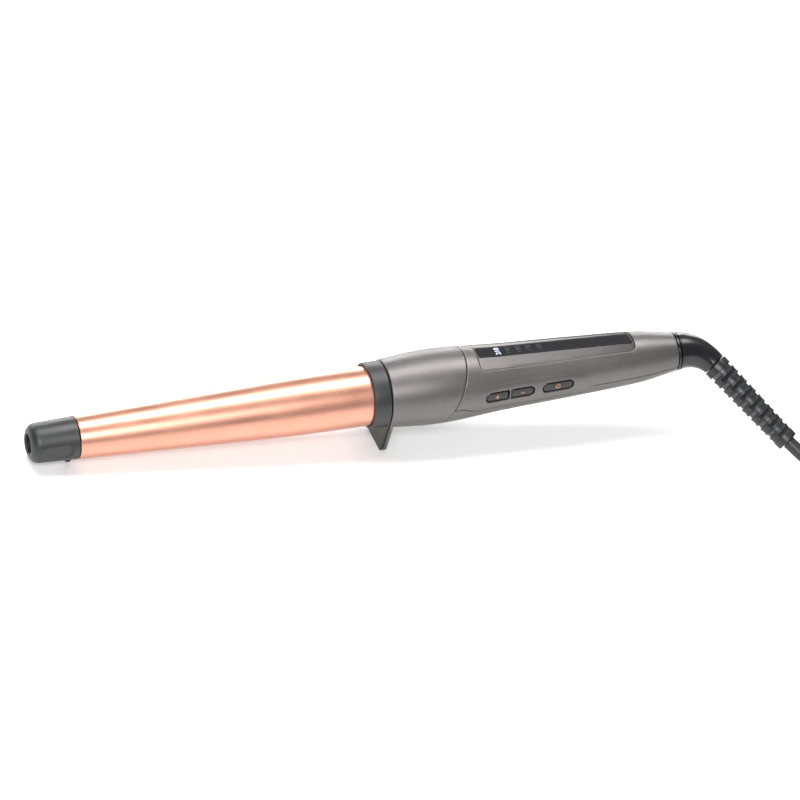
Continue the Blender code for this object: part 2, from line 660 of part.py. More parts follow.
def barrel_bush():
    """Insulating sleeve inside the barrel's rear end and the collar, with two locating screws."""
    x_front = X_COLLAR - BUSH_INSIDE_BARREL
    x_tail = X_TONGUE_END + BUSH_TAIL_LENGTH
    seat = barrel_bore(X_BARREL_REAR) - FIT
    tail = COLLAR_BORE - FIT
    bore = tail - BUSH_WALL
    bush = turned("barrel_bush", [(x_front, seat), (X_BARREL_REAR, seat), (X_BARREL_REAR, tail),
                                  (x_tail, tail)], [(x_front, bore), (x_tail, bore)], PHENOLIC)
    cut(bush, rod("bush_screw_hole", SCREW_RADIUS + FIT, (X_BARREL_SCREW, -2 * BARREL_RADIUS, 0.0),
                  (X_BARREL_SCREW, 2 * BARREL_RADIUS, 0.0), None))
    for side, name in ((-1, "near"), (1, "far")):
        head_top = seat + FIT + 0.8 * MM
        obj = turned("barrel_screw_" + name,
                     [(0.0, SCREW_HEAD_RADIUS), (0.8 * MM, SCREW_HEAD_RADIUS),
                      (0.8 * MM, SCREW_RADIUS), (head_top - bore, SCREW_RADIUS)], [], STEEL, steps=12)
        obj.rotation_euler = (side * math.pi / 2, 0.0, 0.0)
        obj.location = (X_BARREL_SCREW, side * head_top, 0.0)


# ---------------------------------------------------------------- collar, stand and housing
def stand_outline(ring_radius):
    """Outline across the axis: a flat foot whose sides run up to touch a ring."""
    foot = STAND_FOOT_WIDTH / 2
    drop = STAND_DROP + 1.0 * MM
    distance = math.hypot(foot, STAND_DROP)
    contact = math.atan2(foot, STAND_DROP) + math.acos(ring_radius / distance)
    side = (ring_radius * math.sin(contact), -ring_radius * math.cos(contact))
    slope = (side[0] - foot) / (side[1] + STAND_DROP)
    low = foot - slope * (drop - STAND_DROP)
    return [(-low, -drop), (low, -drop), side, (side[0] * 0.9, 0.0), (-side[0] * 0.9, 0.0),
            (-side[0], side[1])]


def fin(name, x_front, x_rear, ring_radius):
    """Cutter-side solid of the stand between two stations, its outline seen along the axis."""
    turn = Matrix.Translation(((x_front + x_rear) / 2, 0.0, 0.0))
    across = Matrix(((0, 0, 1, 0), (1, 0, 0, 0), (0, 1, 0, 0), (0, 0, 0, 1)))
    return plate(name, stand_outline(ring_radius), (x_rear - x_front) / 2, None,
                 turn=turn @ across)


def below_floor():
    reach = 0.1
    return block("below_floor", (-reach, -reach, -reach), (reach, reach, 0.0), None, FLOOR)


def barrel_collar():
    """Ring over the barrel's rear edge, with a tongue into the housing and the stand's front plate."""
    x_shoulder = X_HANDLE - COLLAR_SHOULDER
    collar = turned("barrel_collar",
                    [(X_COLLAR, COLLAR_RADIUS - 0.4 * MM), (X_COLLAR + 0.4 * MM, COLLAR_RADIUS),
                     (X_HANDLE, COLLAR_RADIUS), (X_HANDLE, TONGUE_RADIUS),
                     (X_TONGUE_END, TONGUE_RADIUS)],
                    [(X_COLLAR, BARREL_RADIUS + FIT), (x_shoulder, BARREL_RADIUS + FIT),
                     (x_shoulder, COLLAR_BORE), (X_TONGUE_END, COLLAR_BORE)], BLACK_PLASTIC)
    face = fin("stand_face", X_HANDLE - STAND_FACE_THICKNESS, X_HANDLE - 0.01 * MM, COLLAR_RADIUS)
    cut(face, turned("stand_face_bore", [(X_COLLAR - COLLAR_LENGTH, BARREL_RADIUS + 1.0 * MM),
                                         (X_HANDLE + COLLAR_LENGTH, BARREL_RADIUS + 1.0 * MM)],
                     [], None))
    cut(collar, face, "UNION")
    return cut(collar, below_floor())


def outline_profile(x_start, x_end, inset, count):
    return [(x, handle_radius(x) - inset) for x in spaced(x_start, x_end, count)]


def rake_block(name, behind):
    """Everything behind, or before, the raked seam between the housing and the shells."""
    reach = 60.0 * MM
    middle = X_HANDLE + RAKE_MIDDLE + (SEAM / 2 if behind else -SEAM / 2)
    lean = RAKE_SLOPE * reach
    far = middle + (HANDLE_LENGTH if behind else -HANDLE_LENGTH)
    outline = [(middle - lean, -reach), (far, -reach), (far, reach), (middle + lean, reach)]
    return plate(name, outline, reach, None, turn=Matrix.Rotation(math.pi / 2, 4, "X"))


def front_housing():
    """Convex shell behind the collar with the stand's fin; its rear edge leans back."""
    x_front = X_HANDLE + FIT
    x_rear = X_HANDLE + RAKE_MIDDLE + 12.0 * MM
    housing = turned("front_housing", outline_profile(x_front, x_rear, 0.0, 6),
                     outline_profile(x_front, x_rear, HOUSING_WALL, 6), GUNMETAL)
    stand = fin("stand_fin", x_front + 0.01 * MM, x_front + STAND_THICKNESS, HANDLE_FRONT_RADIUS)
    cut(stand, turned("stand_fin_bore",
                      outline_profile(X_HANDLE - 5.0 * MM, x_rear, HOUSING_WALL - 0.8 * MM, 4),
                      [], None))
    cut(housing, stand, "UNION")
    cut(housing, rake_block("behind_housing", behind=False), "INTERSECT")
    return cut(housing, below_floor())


def handle_chassis():
    """Ring that bridges the housing and the shells, with a tray that carries the board."""
    x_front = X_HANDLE + CHASSIS_RING_FRONT
    x_rear = x_front + CHASSIS_RING_LENGTH
    inset = HOUSING_WALL + FIT
    ring = turned("handle_chassis", outline_profile(x_front, x_rear, inset, 4),
                  outline_profile(x_front, x_rear, inset + CHASSIS_RING_WALL, 4), BLACK_PLASTIC)
    top = BOARD_TOP - BOARD_THICKNESS - FIT
    wide = math.sqrt((handle_radius(x_front) - inset - CHASSIS_RING_WALL / 2) ** 2 - top**2)
    x_end = X_END - TRAY_REAR_SETBACK
    x_neck = x_rear - 0.5 * MM
    outline = [(x_front + 1.0 * MM, -wide), (x_neck, -wide), (x_neck + 4.0 * MM, -TRAY_HALF_WIDTH),
               (x_end, -TRAY_HALF_WIDTH), (x_end, TRAY_HALF_WIDTH),
               (x_neck + 4.0 * MM, TRAY_HALF_WIDTH), (x_neck, wide), (x_front + 1.0 * MM, wide)]
    tray = plate("chassis_tray", outline, TRAY_THICKNESS / 2, None,
                 turn=Matrix.Translation((0.0, 0.0, top - TRAY_THICKNESS / 2)))
    cut(ring, tray, "UNION")
    x_hole = X_HANDLE + HANDLE_SCREW_FRONT
    cut(ring, rod("tray_screw_hole", BOSS_RADIUS + FIT, (x_hole, 0.0, -BARREL_RADIUS),
                  (x_hole, 0.0, BARREL_RADIUS), None))
    for x in BOARD_SCREWS:
        cut(ring, rod("tray_pilot", SCREW_RADIUS + FIT, (x, BOARD_SCREW_Y, -BARREL_RADIUS),
                      (x, BOARD_SCREW_Y, BARREL_RADIUS), None, steps=12))
    return ring


# ---------------------------------------------------------------- handle shells
def seam_block(name, above):
    """Everything above, or below, the wavy seam between the shells."""
    reach = 40.0 * MM
    offset = SEAM / 2 if above else -SEAM / 2
    far = reach if above else -reach
    x_front = X_HANDLE - 10.0 * MM
    x_rear = X_END + 10.0 * MM
    line = [(x_front, seam_height(x_front) + offset)]
    dip_start = X_HANDLE + TEMP_UP_SETBACK - SEAM_DIP_MARGIN
    dip_end = X_HANDLE + POWER_SETBACK + POWER_KEY_LENGTH + SEAM_DIP_MARGIN
    for x in spaced(dip_start - SEAM_RAMP, dip_start, 5) + spaced(dip_end, dip_end + SEAM_RAMP, 5):
        line.append((x, seam_height(x) + offset))
    line.append((x_rear, seam_height(x_rear) + offset))
    outline = line + [(x_rear, far), (x_front, far)]
    return plate(name, outline, reach, None, turn=Matrix.Rotation(math.pi / 2, 4, "X"))


def shell(name, above):
    """One handle shell: the turned skin, behind the raked edge and on its side of the seam."""
    x_front = X_HANDLE + RAKE_MIDDLE - 12.0 * MM
    skin = turned(name, outline_profile(x_front, X_END, 0.0, 10),
                  outline_profile(x_front, X_END, SHELL_WALL, 10), GUNMETAL)
    cut(skin, rake_block("before_" + name, behind=True), "INTERSECT")
    return cut(skin, seam_block("side_of_" + name, above), "INTERSECT")


def panel_outline(grow):
    """Plan of the display panel, grown by a margin; narrower at the rear, with round corners."""
    x_front = X_HANDLE + PANEL_FRONT_SETBACK - grow
    x_rear = X_END - PANEL_REAR_SETBACK + grow
    front = PANEL_FRONT_HALF_WIDTH + grow
    rear = PANEL_REAR_HALF_WIDTH + grow
    r = PANEL_CORNER
    outline = []
    corners = [(x_rear - r, -rear + r, 270), (x_rear - r, rear - r, 0),
               (x_front + r, front - r, 90), (x_front + r, -front + r, 180)]
    for x, y, start in corners:
        for a in spaced(math.radians(start), math.radians(start + 90), 3):
            outline.append((x + r * math.cos(a), y + r * math.sin(a)))
    return outline


def upper_shell():
    upper = shell("upper_shell", above=True)
    high = 2 * HANDLE_BELLY_RADIUS
    pocket = plate("panel_pocket", panel_outline(SEAM), high / 2, None,
                   turn=Matrix.Translation((0.0, 0.0, high / 2 + BOARD_TOP)))
    cut(upper, pocket)
    for x, radius in ((X_HANDLE + HANDLE_SCREW_FRONT, POST_RADIUS),
                      (X_END - HANDLE_SCREW_REAR, POST_RADIUS)):
        bottom = seam_height(x) + SEAM / 2
        top = handle_radius(x) - SHELL_WALL / 2
        cut(upper, rod("post", radius, (x, 0.0, bottom), (x, 0.0, top), None, steps=12), "UNION")
        cut(upper, rod("post_bore", SCREW_RADIUS + FIT, (x, 0.0, bottom - 1.0 * MM),
                       (x, 0.0, top - SHELL_WALL - 1.0 * MM), None, steps=12))
    for key in KEYS:
        cut(upper, key_hole(key))
    return upper


def lower_shell():
    """Shell with the two screw bosses, each with a head recess from below."""
    lower = shell("lower_shell", above=False)
    for x in (X_HANDLE + HANDLE_SCREW_FRONT, X_END - HANDLE_SCREW_REAR):
        top = seam_height(x) - SEAM / 2
        surface = -handle_radius(x)
        shelf = screw_shelf(x)
        cut(lower, rod("boss", BOSS_RADIUS, (x, 0.0, surface + SHELL_WALL / 2), (x, 0.0, top), None),
            "UNION")
        cut(lower, rod("head_recess", SCREW_HEAD_RADIUS + FIT, (x, 0.0, surface - 3.0 * MM),
                       (x, 0.0, shelf), None, steps=12))
        cut(lower, rod("shank_hole", SCREW_RADIUS + FIT, (x, 0.0, shelf - 1.0 * MM),
                       (x, 0.0, top + 2.0 * MM), None, steps=12))
    return lower


def screw_shelf(x):
    """Height of the shelf that a handle screw's head seats on."""
    return seam_height(x) - SEAM / 2 - BOSS_SHELF


def handle_screws():
    for name, x in (("front", X_HANDLE + HANDLE_SCREW_FRONT), ("rear", X_END - HANDLE_SCREW_REAR)):
        head_top = screw_shelf(x) - FIT - SCREW_HEAD_HEIGHT
        screw("handle_screw_" + name, (x, 0.0, head_top), (0, 0, 1), HANDLE_SCREW_LENGTH)


# ---------------------------------------------------------------- display
def faceted_strip(name, half_widths, thickness, material, lift=0.0):
    """A strip along the handle's top whose long edges lie on the handle's surface."""
    x_front = X_HANDLE + PANEL_FRONT_SETBACK - 4.0 * MM
    x_rear = X_END - PANEL_REAR_SETBACK + 4.0 * MM
    bm = bmesh.new()
    rows = []
    for x in spaced(x_front, x_rear, 9):
        radius = handle_radius(x) + lift
        rows.append([bm.verts.new((x, y, math.sqrt(radius**2 - y**2))) for y in half_widths])
    for before, after in zip(rows, rows[1:]):
        for k in range(len(half_widths) - 1):
            bm.faces.new((before[k], after[k], after[k + 1], before[k + 1]))
    mesh = bpy.data.meshes.new(name)
    bm.to_mesh(mesh)
    bm.free()
    obj = bpy.data.objects.new(name, mesh)
    solidify = obj.modifiers.new("Solidify", "SOLIDIFY")
    solidify.thickness = thickness
    solidify.offset = -1.0
    solidify.use_even_offset = True
    return place(obj, material, WAND)


def display():
    wide = PANEL_FRONT_HALF_WIDTH + 1.0 * MM
    flat = WINDOW_HALF_WIDTH + FIT
    crease = flat + 0.2 * MM
    panel = faceted_strip("display_panel", (-wide, -crease, crease, wide), PANEL_THICKNESS, GUNMETAL)
    high = HANDLE_BELLY_RADIUS
    plan = plate("panel_plan", panel_outline(0.0), high, None,
                 turn=Matrix.Translation((0.0, 0.0, high)))
    cut(panel, plan, "INTERSECT")
    x_front = X_HANDLE + PANEL_FRONT_SETBACK
    x_rear = X_END - PANEL_REAR_SETBACK
    slot = faceted_strip("window_slot", (-flat, flat), 2 * (WINDOW_THICKNESS + FIT), None)
    slot.modifiers["Solidify"].offset = 0.0
    cut(slot, block("slot_plan", (x_front + WINDOW_END_MARGIN - FIT, -high, 0.0),
                    (x_rear - WINDOW_END_MARGIN + FIT, high, 2 * high), None), "INTERSECT")
    cut(panel, slot)
    x_light = x_front + WINDOW_OPENING_FRONT
    light = (x_light, x_light + WINDOW_OPENING_LENGTH)
    cut(panel, block("light_opening", (light[0], -WINDOW_OPENING_HALF_WIDTH, 0.0),
                     (light[1], WINDOW_OPENING_HALF_WIDTH, 2 * high), None))
    window = faceted_strip("display_window", (-WINDOW_HALF_WIDTH, WINDOW_HALF_WIDTH),
                           WINDOW_THICKNESS, GLOSS_BLACK)
    cut(window, block("window_plan", (x_front + WINDOW_END_MARGIN, -high, 0.0),
                      (x_rear - WINDOW_END_MARGIN, high, 2 * high), None), "INTERSECT")
    top = math.sqrt(handle_radius(light[1])**2 - flat**2) - WINDOW_THICKNESS - 2 * FIT
    half = WINDOW_OPENING_HALF_WIDTH - FIT
    block("display_module", (light[0] + FIT, -half, BOARD_TOP + FIT), (light[1] - FIT, half, top),
          NYLON)


# ---------------------------------------------------------------- keys, board and screws
class Key:
    """A sprung key: its place along the handle and which of its ends are square."""

    def __init__(self, name, setback, length, flat_front=False, flat_rear=False):
        self.name = name
        self.start = X_HANDLE + setback
        self.length = length
        self.flat_front = flat_front
        self.flat_rear = flat_rear
        radii = [handle_radius(x) for x in spaced(self.start, self.start + length, 4)]
        self.high = max(radii)
        self.low = min(radii)
        inside = self.low - SHELL_WALL - FIT
        self.flange_top = math.sqrt(inside**2 - (KEY_WIDTH / 2 + KEY_FLANGE) ** 2)
        self.stem_end = self.flange_top - KEY_FLANGE_THICKNESS - KEY_STEM_LENGTH
        self.plunger_tip = self.stem_end - KEY_TRAVEL - FIT
        self.switch_face = self.plunger_tip - SWITCH_PLUNGER_LENGTH


KEYS = [
    Key("temp_up", TEMP_UP_SETBACK, TEMP_KEY_LENGTH, flat_rear=True),
    Key("temp_down", TEMP_UP_SETBACK + TEMP_KEY_LENGTH + TEMP_DIVIDER, TEMP_KEY_LENGTH,
        flat_front=True),
    Key("power", POWER_SETBACK, POWER_KEY_LENGTH),
]
KEY_TURN = Matrix.Rotation(KEY_ANGLE, 4, "X")


def key_prism(key, name, grow, top, bottom, material=None):
    """A prism with the key's outline, along the key's travel, between two distances from the axis."""
    outline = shifted(stadium(key.length + 2 * grow, KEY_WIDTH + 2 * grow, key.flat_front,
                              key.flat_rear), -grow)
    middle = Matrix.Translation((key.start, 0.0, (top + bottom) / 2))
    return plate(name, outline, (top - bottom) / 2, material, turn=KEY_TURN @ middle)


def key_hole(key):
    return key_prism(key, key.name + "_hole", KEY_GAP, key.high + 3.0 * MM,
                     key.flange_top - 2.0 * MM)


def keys_and_switches():
    skin = turned("key_face", outline_profile(X_HANDLE + RAKE_MIDDLE, X_END, KEY_RECESS, 10), [],
                  None)
    for key in KEYS:
        button = key_prism(key, key.name + "_button", 0.0, key.high + 1.0 * MM,
                           key.flange_top - KEY_FLANGE_THICKNESS / 2, GLOSS_BLACK)
        cut(button, skin, "INTERSECT")
        cut(button, key_prism(key, key.name + "_flange", KEY_FLANGE, key.flange_top,
                              key.flange_top - KEY_FLANGE_THICKNESS), "UNION")
        middle = key.start + key.length / 2
        stem = plate(key.name + "_stem",
                     [(-KEY_STEM / 2, -KEY_STEM / 2), (KEY_STEM / 2, -KEY_STEM / 2),
                      (KEY_STEM / 2, KEY_STEM / 2), (-KEY_STEM / 2, KEY_STEM / 2)],
                     (key.flange_top - key.stem_end) / 2, None,
                     turn=KEY_TURN @ Matrix.Translation(
                         (middle, 0.0, (key.flange_top + key.stem_end) / 2 - 0.01 * MM)))
        cut(button, stem, "UNION")
        outward = Vector((0.0, -math.sin(KEY_ANGLE), math.cos(KEY_ANGLE)))
        length, depth, height = SWITCH_SIZE
        face = -key.switch_face * math.sin(KEY_ANGLE)
        body = block(key.name + "_switch", (middle - length / 2, face, BOARD_TOP + FIT),
                     (middle + length / 2, face + depth, BOARD_TOP + FIT + height), BLACK_PLASTIC)
        plunger = rod(key.name + "_plunger", SWITCH_PLUNGER_RADIUS,
                      Vector((middle, 0.0, 0.0)) + outward * (key.switch_face - 1.0 * MM),
                      Vector((middle, 0.0, 0.0)) + outward * key.plunger_tip, None, steps=12)
        cut(body, plunger, "UNION")


def control_board():
    x_front = X_HANDLE + BOARD_FRONT_SETBACK
    x_rear = X_END - BOARD_REAR_SETBACK
    board = block("control_board", (x_front, -BOARD_HALF_WIDTH, BOARD_TOP - BOARD_THICKNESS),
                  (x_rear, BOARD_HALF_WIDTH, BOARD_TOP), GREEN_BOARD)
    for name, x in zip(("front", "rear"), BOARD_SCREWS):
        cut(board, rod("board_hole_" + name, SCREW_RADIUS + FIT, (x, BOARD_SCREW_Y, -BARREL_RADIUS),
                       (x, BOARD_SCREW_Y, BARREL_RADIUS), None, steps=12))
        screw("board_screw_" + name, (x, BOARD_SCREW_Y, BOARD_TOP + FIT + SCREW_HEAD_HEIGHT),
              (0, 0, -1), BOARD_SCREW_LENGTH)
    low = BOARD_TOP + FIT
    x = X_HANDLE + POWER_SETBACK + POWER_KEY_LENGTH / 2 + CAPACITOR_SIZE[0]
    block("supply_capacitor", (x - CAPACITOR_SIZE[0] / 2, -CAPACITOR_SIZE[1] / 2, low),
          (x + CAPACITOR_SIZE[0] / 2, CAPACITOR_SIZE[1] / 2, low + CAPACITOR_SIZE[2]), RED_CASE,
          corner=0.6 * MM)
    x_triac = X_HANDLE + POWER_SETBACK
    block("triac", (x_triac, TRIAC_Y, low), (x_triac + TRIAC_SIZE[0], TRIAC_Y + TRIAC_SIZE[1],
                                             low + TRIAC_SIZE[2]), BLACK_PLASTIC)


def wires(element_end, thermistor_end, thermistor_height):
    """Heater and sensor leads to the board, and supply leads from the swivel's contacts."""
    r = WIRE_RADIUS
    lead_in = X_HANDLE + BOARD_FRONT_SETBACK + 1.0 * MM
    height = BOARD_TOP + FIT + r
    for name, side in (("live", -1), ("neutral", 1)):
        route = [(element_end + FIT, side * 4.0 * MM, 0.0), (X_COLLAR, side * 4.2 * MM, 0.3 * MM),
                 (X_HANDLE + CHASSIS_RING_FRONT, side * 4.4 * MM, 0.8 * MM),
                 (lead_in - 6.0 * MM, side * 4.4 * MM, 0.8 * MM), (lead_in, side * 4.2 * MM, height)]
        tube("heater_wire_" + name, smooth_curve([Vector(p) for p in route], 3), r, WHITE_WIRE)
    route = [(thermistor_end + FIT, 0.0, thermistor_height), (X_COLLAR, 1.0 * MM, 5.0 * MM),
             (X_HANDLE + CHASSIS_RING_FRONT, 4.0 * MM, 5.5 * MM),
             (lead_in - 5.0 * MM, 6.8 * MM, 3.0 * MM), (lead_in, 7.3 * MM, height)]
    tube("sensor_wire", smooth_curve([Vector(p) for p in route], 3), 0.7 * r, WHITE_WIRE)
    lead_out = X_END - BOARD_REAR_SETBACK - 1.0 * MM
    for name, side in (("live", -1), ("neutral", 1)):
        route = [(lead_out, side * 4.0 * MM, height), (lead_out + 8.0 * MM, side * 4.6 * MM, 1.0 * MM),
                 (X_CARRIER_FRONT - 4.0 * MM, side * 4.6 * MM, 1.5 * MM),
                 (X_CARRIER_FRONT - FIT, side * 4.4 * MM, 1.5 * MM)]
        tube("supply_wire_" + name, smooth_curve([Vector(p) for p in route], 3), r, BLACK_PLASTIC)


# ---------------------------------------------------------------- swivel, elbow and strain relief
def swivel_bush():
    """Ring fixed in the handle's end, with a lip outside, that the elbow's journal turns in."""
    x_lip = X_END + FIT
    inset = SHELL_WALL + FIT
    rear = HANDLE_END_RADIUS - inset
    bore = JOURNAL_RADIUS + RUNNING_FIT
    lip = HANDLE_END_RADIUS - 0.1 * MM
    outer = outline_profile(X_BUSH_FRONT, X_END, inset, 4)
    outer += [(x_lip, rear), (x_lip, lip), (x_lip + SWIVEL_LIP, lip)]
    turned("swivel_bush", outer, [(X_BUSH_FRONT, bore), (x_lip + SWIVEL_LIP, bore)], BLACK_PLASTIC)


def swivel_contacts():
    """Carrier with two spring leaves, fixed, that press on the two rings of the turning flange."""
    radius = handle_radius(X_CARRIER_REAR) - SHELL_WALL - FIT
    turned("contact_carrier", [(X_CARRIER_FRONT, radius), (X_CARRIER_REAR, radius)], [], PHENOLIC)
    bow = CONTACT_LENGTH / 2
    t = CONTACT_THICKNESS
    leaf = [(0.0, 0.0), (bow, 0.7 * MM), (2 * bow, 0.0), (2 * bow, t), (bow, 0.7 * MM + t), (0.0, t)]
    ring = SLIP_RING_RADIUS - SLIP_RING_WIDTH / 2
    for name, height in (("live", ring - 0.5 * MM), ("neutral", -0.5 * MM)):
        turn = Matrix.Translation((X_CARRIER_REAR + FIT, 0.0, height))
        plate("contact_spring_" + name, leaf, CONTACT_WIDTH / 2, BRASS,
              turn=turn @ Matrix.Rotation(math.pi / 2, 4, "X"))
    x_front = X_RINGS
    x_rear = X_RINGS + SLIP_RING_THICKNESS
    on_swivel(turned("slip_ring_live", [(x_front, SLIP_RING_RADIUS), (x_rear, SLIP_RING_RADIUS)],
                     [(x_front, SLIP_RING_RADIUS - SLIP_RING_WIDTH),
                      (x_rear, SLIP_RING_RADIUS - SLIP_RING_WIDTH)], BRASS, steps=24))
    on_swivel(turned("slip_ring_neutral", [(x_front, SLIP_PIN_RADIUS), (x_rear, SLIP_PIN_RADIUS)],
                     [], BRASS, steps=SMALL_ROUND))


def elbow_point(angle):
    """Middle of the elbow once it has bent by an angle, in the wand's axes."""
    side = ELBOW_BEND * (1 - math.cos(angle))
    return Vector((X_ELBOW + 1.0 * MM + ELBOW_BEND * math.sin(angle),
                   -side * math.sin(ELBOW_LEAN), -side * math.cos(ELBOW_LEAN)))


def elbow_direction(angle):
    return Vector((math.cos(angle), -math.sin(angle) * math.sin(ELBOW_LEAN),
                   -math.sin(angle) * math.cos(ELBOW_LEAN)))


def on_swivel(piece):
    """Hang a piece made in the wand's axes on the swivel, whose origin is further along."""
    piece.parent = SWIVEL
    piece.location.x -= X_END
    return piece


def cord_elbow():
    """Bent horn that thins towards the cord, with a flanged journal held in the bush."""
    end = elbow_point(ELBOW_ANGLE)
    ahead = elbow_direction(ELBOW_ANGLE)
    points = [Vector((X_ELBOW, 0.0, 0.0))]
    points += [elbow_point(a) for a in spaced(0.0, ELBOW_ANGLE, 8)[:-1]]
    points += [end - ahead * ELBOW_TIP, end]
    shares = []
    for i in range(len(points)):
        share = smooth_step(i / (len(points) - 1)) * 0.6 + 0.4 * i / (len(points) - 1)
        radius = ELBOW_START_RADIUS + share * (ELBOW_END_RADIUS - ELBOW_START_RADIUS)
        shares.append(radius / ELBOW_START_RADIUS)
    elbow = tube("cord_elbow", points, ELBOW_START_RADIUS, BLACK_PLASTIC, WAND, shares,
                 resolution=4)
    journal = turned("elbow_journal",
                     [(X_FLANGE, SWIVEL_FLANGE_RADIUS), (X_FLANGE + SWIVEL_FLANGE, SWIVEL_FLANGE_RADIUS),
                      (X_FLANGE + SWIVEL_FLANGE, JOURNAL_RADIUS), (X_ELBOW + 2.0 * MM, JOURNAL_RADIUS)],
                     [], None)
    cut(elbow, journal, "UNION")
    cut(elbow, rod("elbow_bore", ELBOW_BORE_RADIUS, end - ahead * ELBOW_BORE_DEPTH,
                   end + ahead * ELBOW_BORE_DEPTH, None))
    return on_swivel(elbow)


def relief_matrix():
    """Frame of the strain relief: Z along it, X in the plane of the elbow's bend."""
    ahead = elbow_direction(ELBOW_ANGLE)
    across = Vector((1, 0, 0)).cross(ahead).normalized()
    inward = across.cross(ahead)
    turn = Matrix((inward, across, ahead)).transposed().to_4x4()
    return Matrix.Translation(elbow_point(ELBOW_ANGLE)) @ turn


def strain_relief():
    """Tapered sleeve with slots that turn a quarter from one to the next."""
    root = ELBOW_BORE_RADIUS - FIT
    z_end = FIT + RELIEF_LENGTH
    sleeve = turned("strain_relief",
                    [(FIT - ELBOW_BORE_DEPTH + FIT, root), (FIT, root), (FIT, RELIEF_START_RADIUS),
                     (FIT + RELIEF_HEAD, RELIEF_START_RADIUS), (z_end - 0.5 * MM, RELIEF_END_RADIUS),
                     (z_end, RELIEF_END_RADIUS - 0.5 * MM)], [], RUBBER, steps=20)
    sleeve.matrix_local = relief_matrix()
    bm = bmesh.new()
    reach = 4.0 * MM
    count = int((RELIEF_LENGTH - RELIEF_HEAD - 2 * RELIEF_SLOT) / (RELIEF_PITCH / 2))
    for k in range(count):
        z = FIT + RELIEF_HEAD + RELIEF_SLOT + k * RELIEF_PITCH / 2
        for side in (-1, 1):
            middle = side * (RELIEF_CORE + reach)
            place_at = (middle, 0.0, z) if k % 2 == 0 else (0.0, middle, z)
            size = (2 * reach, 4 * reach, RELIEF_SLOT) if k % 2 == 0 else (4 * reach, 2 * reach, RELIEF_SLOT)
            made = bmesh.ops.create_cube(bm, size=1.0)["verts"]
            bmesh.ops.scale(bm, vec=size, verts=made)
            bmesh.ops.translate(bm, vec=place_at, verts=made)
    slots = place(bpy.data.objects.new("relief_slots", mesh_of(bm, "relief_slots")), None, WAND)
    slots.matrix_local = relief_matrix()
    cut(sleeve, slots)
    return on_swivel(sleeve)


# ---------------------------------------------------------------- cord, coil and plug
def in_world(piece):
    """Hang a piece made in world places on the swivel, without moving it."""
    piece.parent = SWIVEL
    piece.matrix_parent_inverse = (WAND_MATRIX @ Matrix.Translation((X_END, 0.0, 0.0))).inverted()
    return piece


def cord():
    """The free stretches of the cord, the coil of the rest, its tie and the plug."""
    for name, route in (("power_cord", CORD_LEAD), ("cord_tail", CORD_TAIL)):
        points = smooth_curve([Vector(p) for p in route], 2)
        in_world(tube(name, points, CORD_RADIUS, RUBBER))
    inner = COIL_RADIUS - COIL_HALF_WIDTH
    outer = COIL_RADIUS + COIL_HALF_WIDTH
    c = COIL_CORNER
    coil = turned("cord_coil", [(COIL_BOTTOM, outer - c), (COIL_BOTTOM + c, outer),
                                (COIL_TOP - c, outer), (COIL_TOP, outer - c)],
                  [(COIL_BOTTOM, inner + c), (COIL_BOTTOM + c, inner), (COIL_TOP - c, inner),
                   (COIL_TOP, inner + c)], RUBBER, steps=40)
    coil.rotation_euler = (0.0, 0.0, 0.0)
    coil.location = (*COIL_MIDDLE, 0.0)
    in_world(coil)
    gap = FIT + 0.1 * MM
    loops = []
    for name, grow, half_width in (("cord_tie", gap + TIE_THICKNESS, TIE_WIDTH / 2),
                                   ("tie_inside", gap, TIE_WIDTH)):
        outline = [(inner - grow, COIL_BOTTOM - grow), (outer + grow, COIL_BOTTOM - grow),
                   (outer + grow, COIL_TOP + grow), (inner - grow, COIL_TOP + grow)]
        turn = Matrix.Translation((*COIL_MIDDLE, 0.0)) @ Matrix.Rotation(TIE_ANGLE, 4, "Z")
        material = RUBBER if name == "cord_tie" else None
        loops.append(in_world(plate(name, outline, half_width, material,
                                    turn=turn @ Matrix.Rotation(math.pi / 2, 4, "X"))))
    cut(loops[0], loops[1])


def plug():
    """Flat two-pin plug, lying on the surface with its pins along +X."""
    turn = Matrix.Translation(Vector(CORD_TAIL[-1])) @ Matrix.Rotation(PLUG_TURN, 4, "Z")
    neck, wide = PLUG_NECK / 2, PLUG_WIDTH / 2
    face = FIT + PLUG_LENGTH
    shoulder = FIT + 0.55 * PLUG_LENGTH
    outline = [(-neck, FIT), (neck, FIT), (wide, shoulder), (wide, face), (-wide, face),
               (-wide, shoulder)]
    body = in_world(plate("plug_body", outline, PLUG_THICKNESS / 2, BLACK_PLASTIC, turn=turn))
    soften(body, PLUG_CORNER, 2)
    for name, side in (("live", -1), ("neutral", 1)):
        across = side * PIN_SPACING / 2
        hole = rod("pin_hole", PIN_RADIUS + FIT, turn @ Vector((across, face - PIN_DEPTH - FIT, 0.0)),
                   turn @ Vector((across, face + PIN_DEPTH, 0.0)), None)
        cut(body, in_world(hole))
        length = PIN_DEPTH + PIN_LENGTH
        pin = turned("plug_pin_" + name, [(0.0, PIN_RADIUS), (length - 1.5 * MM, PIN_RADIUS),
                                          (length, 0.5 * PIN_RADIUS)], [], BRASS, steps=SMALL_ROUND)
        pin.location = turn @ Vector((across, face - PIN_DEPTH, 0.0))
        in_world(pin)


# ---------------------------------------------------------------- the whole wand
def build():
    cool_tip()
    tip_screw_and_anchor()
    barrel_tube()
    heater_ends = heater()
    barrel_bush()
    barrel_collar()
    front_housing()
    handle_chassis()
    upper_shell()
    lower_shell()
    handle_screws()
    display()
    keys_and_switches()
    control_board()
    wires(*heater_ends)
    swivel_bush()
    swivel_contacts()
    cord_elbow()
    strain_relief()
    cord()
    plug()


build()
